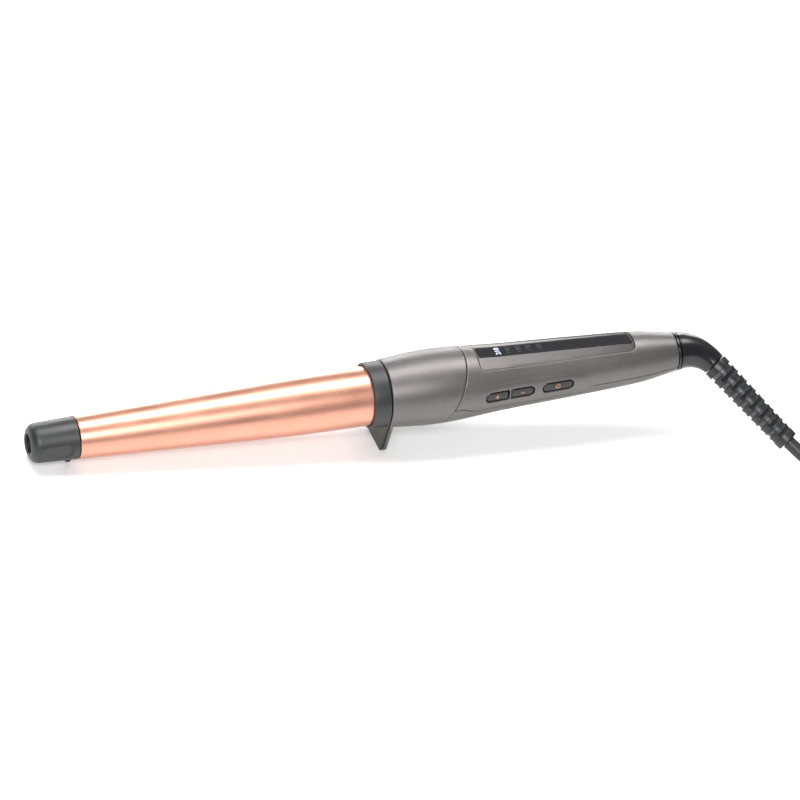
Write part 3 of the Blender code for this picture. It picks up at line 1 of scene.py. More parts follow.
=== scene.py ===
"""Conical curling wand: the finished look, built over its engineering model.

Lengths inside the piece functions are millimetres in the wand's own axes: X from the
nose of the cool tip to the cord, -Y the side with the keys and +Z the side with the
display. Finished meshes are in metres in the shared frame.
"""

import json
import math

import bmesh
import bpy
import numpy as np
from bpy.props import FloatProperty, FloatVectorProperty, PointerProperty
from bpy.types import Operator, Panel, PropertyGroup
from mathutils import Matrix, Vector
from mathutils.geometry import delaunay_2d_cdt


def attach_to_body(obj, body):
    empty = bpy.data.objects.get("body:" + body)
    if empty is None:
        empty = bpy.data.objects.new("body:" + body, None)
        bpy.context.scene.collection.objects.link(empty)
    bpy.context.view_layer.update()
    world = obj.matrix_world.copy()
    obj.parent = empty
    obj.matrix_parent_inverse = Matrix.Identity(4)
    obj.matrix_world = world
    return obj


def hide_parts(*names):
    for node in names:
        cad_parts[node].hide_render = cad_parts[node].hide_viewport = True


bl_info = {
    "name": "Conical Curling Wand",
    "version": (1, 0, 0),
    "blender": (4, 5, 0),
    "location": "View3D > Sidebar > Wand",
    "description": "Builds the finished pieces and materials of a conical curling wand",
    "category": "Object",
}

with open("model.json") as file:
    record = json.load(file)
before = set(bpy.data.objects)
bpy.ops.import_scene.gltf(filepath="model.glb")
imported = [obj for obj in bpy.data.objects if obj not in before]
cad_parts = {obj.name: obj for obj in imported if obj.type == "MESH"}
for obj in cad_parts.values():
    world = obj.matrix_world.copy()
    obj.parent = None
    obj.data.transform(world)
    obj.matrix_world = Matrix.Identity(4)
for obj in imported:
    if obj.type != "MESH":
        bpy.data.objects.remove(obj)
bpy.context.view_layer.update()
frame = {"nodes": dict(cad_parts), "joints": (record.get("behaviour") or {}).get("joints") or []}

MM = 0.001

# ---------------------------------------------------------------- stations along the wand, in mm
X_TIP = 22.4               # rear edge of the cool tip
X_TAPER = 129.9            # end of the barrel's taper
X_HANDLE = 171.3
X_END = 316.8              # rear end of the handle
X_LIP = X_END + 0.3
X_ELBOW = X_LIP + 1.6
HANDLE_LENGTH = X_END - X_HANDLE
RAKE = X_HANDLE + 31.4     # seam between the housing and the shells, on the axis
RAKE_SLOPE = 0.42
SEAM = 0.3
FIT = 0.3
STAND_DROP = 27.8
COLLAR_RADIUS = 15.55
BARREL_RADIUS = 14.0

HANDLE_STATIONS = (
    (0.00, 15.95), (0.18, 17.7), (0.40, 15.75), (0.66, 14.0), (0.88, 12.1), (1.00, 9.3),
)

# ---------------------------------------------------------------- keys and display, in mm
KEY_TURN = math.radians(84.0)
KEY_WIDTH = 4.8
KEY_GAP = 0.3
KEY_RECESS = 0.45
KEYS = (                   # name, front end, length, square front, square rear
    ("temp_up", X_HANDLE + 46.0, 11.5, False, True),
    ("temp_down", X_HANDLE + 46.0 + 11.5 + 1.4, 11.5, True, False),
    ("power", X_HANDLE + 74.8, 15.4, False, False),
)
PANEL_FRONT = X_HANDLE + 44.8
PANEL_REAR = X_END - 22.0
WINDOW_HALF = 3.4
SEAM_DROP = 2.3
SEAM_DIP = 5.6

# ---------------------------------------------------------------- elbow and strain relief, in mm
ELBOW_BEND = 20.0
ELBOW_ANGLE = math.radians(56.6)
ELBOW_LEAN = math.radians(53.6)
RELIEF_LENGTH = 50.0
RELIEF_PITCH = 3.1
RELIEF_SLOT = 1.7
RELIEF_CORE = 3.4

# ---------------------------------------------------------------- cord, in metres in the shared frame
CORD_DIAMETER = 0.0064
CORD_LEAD = (                 # from the strain relief down to the coil
    (0.1911, -0.0412, 0.0152), (0.1979, -0.0481, 0.0109), (0.2056, -0.0545, 0.0076),
    (0.2140, -0.0600, 0.0054), (0.2229, -0.0645, 0.0044), (0.2308, -0.0676, 0.0042),
)
CORD_JOINING = ((0.2419, -0.0707, 0.0042), (0.2518, -0.0722, 0.0042))
CORD_LEAVING = ((0.2844, -0.0671, 0.0160),)
CORD_TAIL = (                 # from the coil to the plug
    (0.2977, -0.0635, 0.0128), (0.3070, -0.0609, 0.0096), (0.3165, -0.0590, 0.0074),
    (0.3262, -0.0588, 0.0070),
)
COIL_MIDDLE = (0.2620, -0.0300)
COIL_RADIUS = 0.0352
COIL_FLOOR = 0.0042        # middle of the lowest turns
COIL_START = 272.0         # degrees, seen from above
COIL_TURNS = 7.036
COIL_POINTS = 24           # to a turn
PLUG_LENGTH = 36.0
PIN_SPACING = 18.6
TIE_ANGLE = math.radians(120.0)

JOINTS = {joint["name"]: joint for joint in frame["joints"]}
AXIS = Vector(JOINTS["cord_turn"]["axis"]).normalized()
TILT = Matrix.Rotation(-math.atan2(AXIS.z, AXIS.x), 4, "Y")
NOSE = Vector(JOINTS["cord_turn"]["pos_m"]) - AXIS * X_END * MM
WAND = Matrix.Translation(NOSE) @ TILT @ Matrix.Scale(MM, 4)
WORLD = Matrix.Scale(MM, 4)


# ---------------------------------------------------------------- colours and nodes
def linear(hex_colour):
    """Linear RGB of an sRGB hex colour such as #A77263."""
    channels = [int(hex_colour[i:i + 2], 16) / 255.0 for i in (1, 3, 5)]
    return tuple(c / 12.92 if c <= 0.04045 else ((c + 0.055) / 1.055) ** 2.4 for c in channels)


def shade(colour, factor):
    return tuple(min(c * factor, 1.0) for c in colour) + (1.0,)


def add(tree, kind, settings=None, inputs=None):
    """Adds a node, sets its settings, and sets or links its inputs."""
    node = tree.nodes.new(kind)
    for name, value in (settings or {}).items():
        setattr(node, name, value)
    for name, value in (inputs or {}).items():
        if isinstance(value, bpy.types.NodeSocket):
            tree.links.new(value, node.inputs[name])
        else:
            node.inputs[name].default_value = value
    return node


def start_material(name, colour, roughness, metallic=0.0, **sockets):
    """A named material with its shader's plain sockets set. Returns it, its tree and its shader."""
    material = bpy.data.materials.new(name)
    material.use_nodes = True
    tree = material.node_tree
    shader = tree.nodes["Principled BSDF"]
    shader.inputs["Base Color"].default_value = (*colour, 1.0)
    shader.inputs["Roughness"].default_value = roughness
    shader.inputs["Metallic"].default_value = metallic
    for key, value in sockets.items():
        shader.inputs[key.replace("_", " ")].default_value = value
    material.diffuse_color = (*colour, 1.0)
    return material, tree, shader


def per_mm(size):
    """Texture scale that gives features of a size in mm, in coordinates in metres."""
    return 1.0 / (size * MM)


def grained(material, tree, shader, colour, size, contrast, roughness, bump, detail=2.0):
    """Fine grain of a real size: colour and roughness vary a little, and a bump follows them."""
    place = add(tree, "ShaderNodeTexCoord")
    grain = add(tree, "ShaderNodeTexNoise", None,
                {"Vector": place.outputs["Object"], "Scale": per_mm(size), "Detail": detail,
                 "Roughness": 0.6})
    cloud = add(tree, "ShaderNodeTexNoise", None,
                {"Vector": place.outputs["Object"], "Scale": per_mm(size * 60.0), "Detail": 1.0})
    ramp = add(tree, "ShaderNodeValToRGB", None, {"Fac": grain.outputs["Fac"]})
    ramp.color_ramp.elements[0].position = 0.32
    ramp.color_ramp.elements[0].color = shade(colour, 1.0 - contrast)
    ramp.color_ramp.elements[1].position = 0.68
    ramp.color_ramp.elements[1].color = shade(colour, 1.0 + contrast)
    tree.links.new(ramp.outputs["Color"], shader.inputs["Base Color"])
    both = add(tree, "ShaderNodeMath", {"operation": "ADD"},
               {0: grain.outputs["Fac"], 1: cloud.outputs["Fac"]})
    rough = add(tree, "ShaderNodeMapRange", None,
                {"Value": both.outputs["Value"], "From Min": 0.6, "From Max": 1.4,
                 "To Min": roughness[0], "To Max": roughness[1]})
    tree.links.new(rough.outputs["Result"], shader.inputs["Roughness"])
    relief = add(tree, "ShaderNodeBump", None,
                 {"Height": grain.outputs["Fac"], "Strength": bump, "Distance": size * MM})
    tree.links.new(relief.outputs["Normal"], shader.inputs["Normal"])
    return material


# ---------------------------------------------------------------- materials
def rose_gold_coating(colour):
    # Aluminium tube, bead-blasted, then coated: a metal sheen with a fine sparkle.
    # The real grain is about 0.05 mm and is drawn at 0.3 mm so that it shows.
    parts = start_material("rose_gold_coated_aluminium", colour, 0.34, 1.0)
    return grained(*parts, colour, 0.3, 0.14, (0.27, 0.40), 0.10)


def gunmetal_lacquer(colour):
    # Moulded ABS sprayed with metallic lacquer: flake gives a soft grain in its highlights.
    # The flake is about 0.05 mm and is drawn at 0.35 mm so that it shows.
    parts = start_material("gunmetal_lacquered_abs", colour, 0.42, 0.85)
    return grained(*parts, colour, 0.35, 0.20, (0.34, 0.50), 0.14)


def cap_plastic():
    # Glass-filled PPS, moulded in a spark-eroded tool: dark, with a soft broad highlight.
    colour = linear("#0C0D0F")
    parts = start_material("spark_eroded_pps", colour, 0.42, IOR=1.6)
    return grained(*parts, colour, 0.4, 0.18, (0.36, 0.52), 0.16)


def collar_plastic():
    # Phenolic moulding, finely vapour-blasted: a blue-black that takes a dull even light.
    colour = linear("#0B0D12")
    parts = start_material("vapour_blasted_phenolic", colour, 0.46, IOR=1.62)
    return grained(*parts, colour, 0.4, 0.10, (0.42, 0.54), 0.08)


def gloss_abs():
    # Polished ABS: hard narrow reflections, with the slight waviness of a thin moulding.
    colour = linear("#08080B")
    parts = start_material("polished_black_abs", colour, 0.10, IOR=1.53)
    return grained(*parts, colour, 3.0, 0.05, (0.07, 0.13), 0.03, 1.0)


def window_acrylic():
    # Smoked acrylic strip: charcoal, with a flat and slightly hazy reflection.
    colour = linear("#1B1B1E")
    parts = start_material("smoked_acrylic", colour, 0.16, IOR=1.49)
    return grained(*parts, colour, 2.0, 0.05, (0.12, 0.20), 0.02, 1.0)


def elbow_nylon():
    # Injection-moulded nylon with a semi-polished skin: black with long soft reflections.
    colour = linear("#0B0B0E")
    parts = start_material("semi_polished_nylon", colour, 0.24, IOR=1.53)
    return grained(*parts, colour, 0.6, 0.10, (0.19, 0.30), 0.05)


def relief_rubber():
    # Moulded thermoplastic rubber: black and satin, with a slight skin texture.
    colour = linear("#0F0F12")
    parts = start_material("moulded_tpe_rubber", colour, 0.40, IOR=1.51)
    return grained(*parts, colour, 0.5, 0.14, (0.32, 0.46), 0.10)


def cord_pvc():
    # Extruded PVC jacket: dark, a little waxy, with faint marks along it.
    colour = linear("#131316")
    parts = start_material("extruded_pvc", colour, 0.45, IOR=1.53)
    return grained(*parts, colour, 0.8, 0.12, (0.38, 0.52), 0.08)


def copper_foil():
    # Hot-stamped foil of the key signs: warm metal, worn a little thin in places.
    colour = linear("#C08A6C")
    parts = start_material("hot_stamped_copper_foil", colour, 0.35, 0.9)
    return grained(*parts, colour, 0.2, 0.15, (0.30, 0.45), 0.03)


def lamp_figures(name, glow, strength):
    # Figures cut in the mask and lit from behind: light falls off a little unevenly. At a weak strength
    # the same material paints a faint glow on figures that no lamp lights.
    material, tree, shader = start_material(name, (0.02, 0.02, 0.02), 0.4)
    place = add(tree, "ShaderNodeTexCoord")
    spread = add(tree, "ShaderNodeTexNoise", None,
                 {"Vector": place.outputs["Object"], "Scale": per_mm(2.5), "Detail": 1.0})
    ramp = add(tree, "ShaderNodeValToRGB", None, {"Fac": spread.outputs["Fac"]})
    ramp.color_ramp.elements[0].position = 0.3
    ramp.color_ramp.elements[0].color = shade(glow, 0.85)
    ramp.color_ramp.elements[1].position = 0.7
    ramp.color_ramp.elements[1].color = shade(glow, 1.0)
    tree.links.new(ramp.outputs["Color"], shader.inputs["Emission Color"])
    shader.inputs["Emission Strength"].default_value = strength
    return material


def metal(name, hex_colour, size, contrast, roughness, bump):
    """A bare metal with the marks of how it was made, at their real size."""
    colour = linear(hex_colour)
    parts = start_material(name, colour, roughness[0], 1.0)
    return grained(*parts, colour, size, contrast, roughness, bump)


def plastic(name, hex_colour, size, contrast, roughness, bump):
    """A moulded or pressed part with no metal in it, with its surface's real texture size."""
    colour = linear(hex_colour)
    parts = start_material(name, colour, roughness[0], IOR=1.5)
    return grained(*parts, colour, size, contrast, roughness, bump)


def glass_braid():
    # Woven glass sleeve over the heater's leads: threads about 0.4 mm apart.
    colour = linear("#D9D5C8")
    material, tree, shader = start_material("woven_glass_braid", colour, 0.7)
    place = add(tree, "ShaderNodeTexCoord")
    weave = add(tree, "ShaderNodeTexWave", {"wave_type": "BANDS", "bands_direction": "DIAGONAL"},
                {"Vector": place.outputs["Object"], "Scale": per_mm(0.4) / (2 * math.pi),
                 "Distortion": 1.5, "Detail": 1.0})
    ramp = add(tree, "ShaderNodeValToRGB", None, {"Fac": weave.outputs["Fac"]})
    ramp.color_ramp.elements[0].color = shade(colour, 0.6)
    ramp.color_ramp.elements[1].color = shade(colour, 1.0)
    tree.links.new(ramp.outputs["Color"], shader.inputs["Base Color"])
    relief = add(tree, "ShaderNodeBump", None,
                 {"Height": weave.outputs["Fac"], "Strength": 0.5, "Distance": 0.1 * MM})
    tree.links.new(relief.outputs["Normal"], shader.inputs["Normal"])
    return material


def floor_paper():
    # Seamless white studio paper: matt, with a very slight cloudiness.
    colour = linear("#F4F4F4")
    parts = start_material("white_studio_paper", colour, 0.9)
    return grained(*parts, colour, 4.0, 0.01, (0.85, 0.95), 0.01)


_made = {}


def finish(make, *values):
    """The material that a function makes, made once."""
    key = (make.__name__, str([tuple(v) if hasattr(v, "__len__") and not isinstance(v, str) else v
                               for v in values]))
    if key not in _made:
        _made[key] = make(*values)
    return _made[key]


# ---------------------------------------------------------------- mesh helpers
def piece(name, verts, faces, material, body, nodes, matrix=WAND, sharp=32.0, close=True):
    """A smooth-shaded mesh that rides on a body and stands for CAD nodes; never below the floor."""
    mesh = bpy.data.meshes.new(name)
    mesh.from_pydata([tuple(v) for v in verts], [], faces)
    mesh.transform(matrix)
    bm = bmesh.new()
    bm.from_mesh(mesh)
    bmesh.ops.remove_doubles(bm, verts=bm.verts[:], dist=0.000002)
    bmesh.ops.dissolve_degenerate(bm, edges=bm.edges[:], dist=0.000001)
    if close:
        bmesh.ops.recalc_face_normals(bm, faces=bm.faces[:])
    for vert in bm.verts:
        vert.co.z = max(vert.co.z, 0.0)
    bm.to_mesh(mesh)
    bm.free()
    mesh.polygons.foreach_set("use_smooth", [True] * len(mesh.polygons))
    mesh.set_sharp_from_angle(angle=math.radians(sharp))
    return attach(bpy.data.objects.new(name, mesh), material, body, nodes)


def attach(obj, material, body, nodes):
    bpy.context.scene.collection.objects.link(obj)
    obj.data.materials.append(material)
    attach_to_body(obj, body)
    if nodes:
        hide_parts(*nodes)
    return obj


def spaced(start, end, count):
    """count + 1 even values from start to end."""
    return [start + (end - start) * i / count for i in range(count + 1)]


def smooth_step(u):
    u = min(max(u, 0.0), 1.0)
    return u * u * (3 - 2 * u)


def filleted(corners, radius, steps=4):
    """A closed 2-D outline with each corner rounded; a corner may carry its own radius."""
    outline = []
    count = len(corners)
    for i in range(count):
        p = Vector(corners[i][:2])
        before = Vector(corners[i - 1][:2]) - p
        after = Vector(corners[(i + 1) % count][:2]) - p
        own = corners[i][2] if len(corners[i]) > 2 else radius
        trim = min(own, 0.45 * before.length, 0.45 * after.length)
        if trim < 0.01:
            outline.append(tuple(p))
            continue
        a = p + before.normalized() * trim
        b = p + after.normalized() * trim
        for u in spaced(0.0, 1.0, steps):
            outline.append(tuple(a * (1 - u) ** 2 + p * 2 * u * (1 - u) + b * u * u))
    return outline


def grid_faces(rows, columns, wrap_rows=False, wrap_columns=True):
    faces = []
    for i in range(rows if wrap_rows else rows - 1):
        j = (i + 1) % rows
        for k in range(columns if wrap_columns else columns - 1):
            m = (k + 1) % columns
            faces.append((i * columns + k, i * columns + m, j * columns + m, j * columns + k))
    return faces


def turned(name, profile, material, body, nodes, steps=96, matrix=WAND, sharp=32.0):
    """A turned piece: its closed profile of (x, radius) swept round the X axis."""
    angles = spaced(0.0, 2 * math.pi, steps)[:-1]
    verts = [(x, -r * math.sin(a), r * math.cos(a)) for x, r in profile for a in angles]
    return piece(name, verts, grid_faces(len(profile), steps, wrap_rows=True), material, body, nodes,
                 matrix, sharp)


def lofted(name, rings, material, body, nodes, matrix=WAND, sharp=32.0, caps=True):
    """Rings of equal count joined in order, closed by a fan at each end."""
    columns = len(rings[0])
    verts = [p for ring in rings for p in ring]
    faces = grid_faces(len(rings), columns)
    if caps:
        for ring, first in ((rings[0], 0), (rings[-1], (len(rings) - 1) * columns)):
            middle = len(verts)
            verts.append(tuple(sum((Vector(p) for p in ring), Vector()) / columns))
            faces += [(first + (k + 1) % columns, first + k, middle) for k in range(columns)]
    return piece(name, verts, faces, material, body, nodes, matrix, sharp)


def plate(name, outline, low, high, edge, material, body, nodes, to_local):
    """A flat plate with rounded edges: to_local turns (u, v, height) into the wand's axes."""
    bm = bmesh.new()
    under = [bm.verts.new((u, v, low)) for u, v in outline]
    over = [bm.verts.new((u, v, high)) for u, v in outline]
    bm.faces.new(under)
    bm.faces.new(over)
    for k in range(len(outline)):
        m = (k + 1) % len(outline)
        bm.faces.new((under[k], under[m], over[m], over[k]))
    bmesh.ops.recalc_face_normals(bm, faces=bm.faces[:])
    rims = [e for e in bm.edges if abs(e.verts[0].co.z - e.verts[1].co.z) < 1e-6]
    bmesh.ops.bevel(bm, geom=rims, offset=edge, segments=3, profile=0.5, affect="EDGES")
    verts = [to_local(*v.co) for v in bm.verts]
    faces = [[v.index for v in f.verts] for f in bm.faces]
    bm.free()
    return piece(name, verts, faces, material, body, nodes)


# ---------------------------------------------------------------- trimmed skins
def resampled(loop, step):
    points = []
    for k, a in enumerate(loop):
        a = np.array(a)
        b = np.array(loop[(k + 1) % len(loop)])
        count = max(1, math.ceil(np.linalg.norm(b - a) / step))
        points += [tuple(a + (b - a) * i / count) for i in range(count)]
    return points


def inside(points, loops):
    """Which of the points lie inside the first loop and outside the others."""
    odd = np.zeros(len(points), dtype=bool)
    x, y = points[:, 0], points[:, 1]
    for loop in loops:
        for (ax, ay), (bx, by) in zip(loop, loop[1:] + loop[:1]):
            if ay != by:
                odd ^= ((ay > y) != (by > y)) & (x < (bx - ax) * (y - ay) / (by - ay) + ax)
    return odd


def distance(points, loops):
    """Distance from each point to the nearest edge of any loop."""
    nearest = np.full(len(points), 1e9)
    for loop in loops:
        for a, b in zip(loop, loop[1:] + loop[:1]):
            a, span = np.array(a), np.array(b) - np.array(a)
            along = np.clip((points - a) @ span / max(span @ span, 1e-12), 0.0, 1.0)
            nearest = np.minimum(nearest, np.linalg.norm(points - a - along[:, None] * span, axis=1))
    return nearest


def skin(name, loops, surface, material, body, nodes, edge=0.25, wall=1.2, spacing=1.2, fine=0.4,
         sharp=50.0):
    """A curved skin cut to an outline with holes, its edges rounded and turned inwards.

    loops are closed outlines in (s, t), the first the outer one, and surface(s, t, lift)
    gives the place of a point that stands lift above the skin."""
    loops = [resampled(loop, fine) for loop in loops]
    rings = []
    for share in (0.13, 0.5, 1.0):
        for loop in loops:
            here = np.array(loop)
            along = np.roll(here, -1, axis=0) - np.roll(here, 1, axis=0)
            normal = np.stack([-along[:, 1], along[:, 0]], axis=1)
            normal /= np.maximum(np.linalg.norm(normal, axis=1), 1e-9)[:, None]
            for side in (-1, 1):
                moved = here + normal * side * edge * share
                keep = inside(moved, loops) & (distance(moved, loops) > 0.95 * edge * share)
                rings += [tuple(p) for p in moved[keep]]
    outer = np.array(loops[0])
    low, high = outer.min(axis=0), outer.max(axis=0)
    across = np.arange(low[0], high[0], spacing)
    rows = np.arange(low[1], high[1], spacing * 0.866)
    grid = np.array([(s + (0.5 * spacing if k % 2 else 0.0), t)
                     for k, t in enumerate(rows) for s in across])
    grid = grid[inside(grid, loops)]
    grid = grid[distance(grid, loops) > edge + 0.4 * spacing]
    points = [p for loop in loops for p in loop] + rings + [tuple(p) for p in grid]
    edges = []
    first = 0
    for loop in loops:
        count = len(loop)
        edges += [(first + k, first + (k + 1) % count) for k in range(count)]
        first += count
    flat, _, triangles, origins, _, _ = delaunay_2d_cdt([Vector(p) for p in points], edges, [], 0, 1e-5)
    flat = np.array([tuple(p) for p in flat])
    middles = np.array([flat[list(t)].mean(axis=0) for t in triangles])
    triangles = [tuple(t) for t, kept in zip(triangles, inside(middles, loops)) if kept]
    depth = np.minimum(distance(flat, loops), edge)
    drop = edge - np.sqrt(np.maximum(edge ** 2 - (edge - depth) ** 2, 0.0))
    verts = [surface(s, t, -d) for (s, t), d in zip(flat, drop)]
    where = {i: k for k, found in enumerate(origins) for i in found}
    first = 0
    for loop in loops:
        count = len(loop)
        start = len(verts)
        verts += [surface(s, t, -edge - wall) for s, t in loop]
        for k in range(count):
            m = (k + 1) % count
            triangles.append((where[first + k], where[first + m], start + m, start + k))
        first += count
    return piece(name, verts, triangles, material, body, nodes, sharp=sharp)


# ---------------------------------------------------------------- the wand's own surfaces
def handle_radius(x):
    """Outer radius of the handle, on a smooth curve through its stations."""
    share = min(max((x - X_HANDLE) / HANDLE_LENGTH, 0.0), 1.0)
    stations = HANDLE_STATIONS
    slopes = []
    for i in range(len(stations)):
        low = stations[max(i - 1, 0)]
        high = stations[min(i + 1, len(stations) - 1)]
        slopes.append((high[1] - low[1]) / (high[0] - low[0]))
    slopes[0] *= 1.6
    i = 0
    while i < len(stations) - 2 and share > stations[i + 1][0]:
        i += 1
    (t0, r0), (t1, r1) = stations[i], stations[i + 1]
    span = t1 - t0
    u = (share - t0) / span
    return (r0 * (2 * u**3 - 3 * u**2 + 1) + slopes[i] * span * (u**3 - 2 * u**2 + u)
            + r1 * (3 * u**2 - 2 * u**3) + slopes[i + 1] * span * (u**3 - u**2))


def seam_height(x):
    """Height of the seam between the shells, which dips under the keys."""
    enter = smooth_step((x - (X_HANDLE + 34.0)) / 8.0)
    leave = smooth_step((x - (X_HANDLE + 94.2)) / 8.0)
    return -SEAM_DROP - (enter - leave) * (SEAM_DIP - SEAM_DROP)


UNROLL = 15.0              # radius at which the handle's angles become lengths


def key_bulge(x, angle):
    """Low swelling of the handle round the keys."""
    along = abs(x - (X_HANDLE + 68.4)) / 27.0
    round_it = abs(angle - KEY_TURN) * 15.0 / 5.6
    far = (along ** 3 + round_it ** 3) ** (1 / 3)
    return 0.35 * (1.0 - smooth_step((far - 0.85) / 0.32))


def on_handle(s, t, lift):
    """Point of the handle's surface at s along it and t round it from the top, towards the keys."""
    angle = t / UNROLL
    r = handle_radius(s) + key_bulge(s, angle) + lift
    return (s, -r * math.sin(angle), r * math.cos(angle))


def on_key(recess):
    """Surface of the keys: s along, t across the key's travel."""
    def surface(s, t, lift):
        r = handle_radius(s) + 0.35 - recess + lift
        h = math.sqrt(r * r - t * t)
        return (s, t * math.cos(KEY_TURN) - h * math.sin(KEY_TURN),
                t * math.sin(KEY_TURN) + h * math.cos(KEY_TURN))
    return surface


def on_panel(s, t, lift):
    """Faceted top of the display panel: a flat middle and two flat sides."""
    r = handle_radius(s)
    crease, wide = WINDOW_HALF + 0.5, 10.8
    high = math.sqrt(r * r - crease * crease)
    low = math.sqrt(max(r * r - wide * wide, 1.0))
    share = max(abs(t) - crease, 0.0) / (wide - crease)
    return (s, t, high + (low - high) * share + lift)


def on_window(s, t, lift):
    r = handle_radius(s)
    return (s, t, math.sqrt(r * r - WINDOW_HALF ** 2) + lift)


def stadium(start, length, width, square_front, square_rear, grow=0.0):
    """Outline of a key: round ends unless one is square."""
    half = width / 2 + grow
    x0, x1 = start - grow, start + length + grow
    corner = 0.5
    outline = []
    if square_rear:
        outline += [(x1 - corner, -half), (x1, -half + corner), (x1, half - corner),
                    (x1 - corner, half)]
    else:
        outline += [(x1 - half + half * math.cos(a), half * math.sin(a))
                    for a in spaced(-math.pi / 2, math.pi / 2, 20)]
    if square_front:
        outline += [(x0 + corner, half), (x0, half - corner), (x0, -half + corner),
                    (x0 + corner, -half)]
    else:
        outline += [(x0 + half + half * math.cos(a), half * math.sin(a))
                    for a in spaced(math.pi / 2, 3 * math.pi / 2, 20)]
    return outline


def elbow_point(angle):
    side = ELBOW_BEND * (1 - math.cos(angle))
    return Vector((X_ELBOW + 1.0 + ELBOW_BEND * math.sin(angle),
                   -side * math.sin(ELBOW_LEAN), -side * math.cos(ELBOW_LEAN)))


def elbow_direction(angle):
    return Vector((math.cos(angle), -math.sin(angle) * math.sin(ELBOW_LEAN),
                   -math.sin(angle) * math.cos(ELBOW_LEAN)))


def elbow_frame(angle):
    """Inward and sideways unit vectors of the elbow's bend."""
    ahead = elbow_direction(angle)
    across = Vector((1, 0, 0)).cross(elbow_direction(ELBOW_ANGLE)).normalized()
    return across.cross(ahead).normalized(), across


# ---------------------------------------------------------------- settings a user would change
class WANDLOOK_PG_settings(PropertyGroup):
    edge_rounding: FloatProperty(
        name="Edge rounding", description="Radius of the moulded edges, in millimetres",
        default=0.28, min=0.05, max=0.4)
    figure_height: FloatProperty(
        name="Figure size", description="Type size of the display's numbers, in millimetres",
        default=3.3, min=1.5, max=4.0)
    lamp_strength: FloatProperty(
        name="Lamp strength", description="How brightly the chosen number is lit",
        default=1.6, min=0.0, max=10.0, subtype="FACTOR")
    barrel_colour: FloatVectorProperty(
        name="Barrel colour", description="Colour of the barrel's coating",
        subtype="COLOR", size=3, min=0.0, max=1.0, default=linear("#D39A85"))
    handle_colour: FloatVectorProperty(
        name="Handle colour", description="Colour of the handle's lacquer",
        subtype="COLOR", size=3, min=0.0, max=1.0, default=linear("#6A6766"))
    light_strength: FloatProperty(
        name="Softbox power", description="Power of the softbox over the wand",
        default=26.0, min=0.0, max=200.0, subtype="POWER")


def settings():
    return bpy.context.scene.wandlook


def run(build):
    """Runs a builder for an operator; whatever it raises stops the script."""
    build()
    return {"FINISHED"}


# ---------------------------------------------------------------- stage and camera
def build_camera():
    """Long lens, level with the wand's keys and display, looking down on them."""
    turn = TILT.to_3x3()
    right = (turn @ Vector((0.9395, -0.329, 0.097))).normalized()
    back = turn @ Vector((-0.315, -0.7165, 0.6226))
    back = (back - right * back.dot(right)).normalized()
    up = back.cross(right)
    aim = WAND @ Vector((X_HANDLE - 4.2, 0.0, 0.0))
    data = bpy.data.cameras.new("camera")
    data.lens = 286.2
    data.sensor_width = 36.0
    data.clip_end = 50.0
    camera = bpy.data.objects.new("camera", data)
    basis = Matrix((right, up, back)).transposed().to_4x4()
    camera.matrix_world = Matrix.Translation(
        aim + right * 0.01261 - up * 0.0025 + back * 2.948) @ basis
    bpy.context.scene.collection.objects.link(camera)
    bpy.context.scene.camera = camera


def softbox(name, place, aim, size, power):
    data = bpy.data.lights.new(name, "AREA")
    data.shape = "RECTANGLE"
    data.size, data.size_y = size
    data.energy = power
    light = bpy.data.objects.new(name, data)
    light.location = place
    light.rotation_euler = (Vector(aim) - Vector(place)).to_track_quat("-Z", "Y").to_euler()
    bpy.context.scene.collection.objects.link(light)


def build_stage():
    build_camera()
    reach, count = 4.0, 8
    verts = [(x, y, 0.0) for y in spaced(-reach, reach, count) for x in spaced(-reach, reach, count)]
    mesh = bpy.data.meshes.new("studio_floor")
    mesh.from_pydata(verts, [], grid_faces(count + 1, count + 1, wrap_columns=False))
    mesh.materials.append(finish(floor_paper))
    floor = bpy.data.objects.new("studio_floor", mesh)
    floor.location.z = -0.0002
    bpy.context.scene.collection.objects.link(floor)
    power = settings().light_strength
    softbox("softbox_over", (0.05, 0.22, 1.25), (0.05, 0.0, 0.0), (1.9, 0.55), power)
    softbox("softbox_front", (-0.7, -1.9, 1.7), (0.0, 0.0, 0.0), (1.6, 0.9), 2.2 * power)
    softbox("strip_behind", (0.2, 1.5, 0.35), (0.05, 0.0, 0.0), (2.2, 0.25), 0.8 * power)
    world = bpy.data.worlds.new("studio")
    world.use_nodes = True
    world.node_tree.nodes["Background"].inputs["Color"].default_value = (1.0, 1.0, 1.0, 1.0)
    world.node_tree.nodes["Background"].inputs["Strength"].default_value = 0.35
    bpy.context.scene.world = world
    bpy.context.scene.view_settings.view_transform = "Standard"


# ---------------------------------------------------------------- cord, tie and plug
def coil_point(angle):
    """Point of the coil after an angle in degrees: out to in, up a row, and in to out again."""
    turn = angle / 360.0
    whole = int(turn)
    shift = smooth_step((turn - whole - 0.86) / 0.14)
    radii = (1, 0, -1, -1, 0, 1, 1, 1, 1)
    rows = (0, 0, 0, 1, 1, 1, 2, 2, 2)
    column = radii[whole] + (radii[whole + 1] - radii[whole]) * shift
    row = rows[whole] + (rows[whole + 1] - rows[whole]) * shift
    r = COIL_RADIUS + column * CORD_DIAMETER
    a = math.radians(COIL_START + angle)
    return Vector((COIL_MIDDLE[0] + r * math.cos(a), COIL_MIDDLE[1] + r * math.sin(a),
                   COIL_FLOOR + row * CORD_DIAMETER))


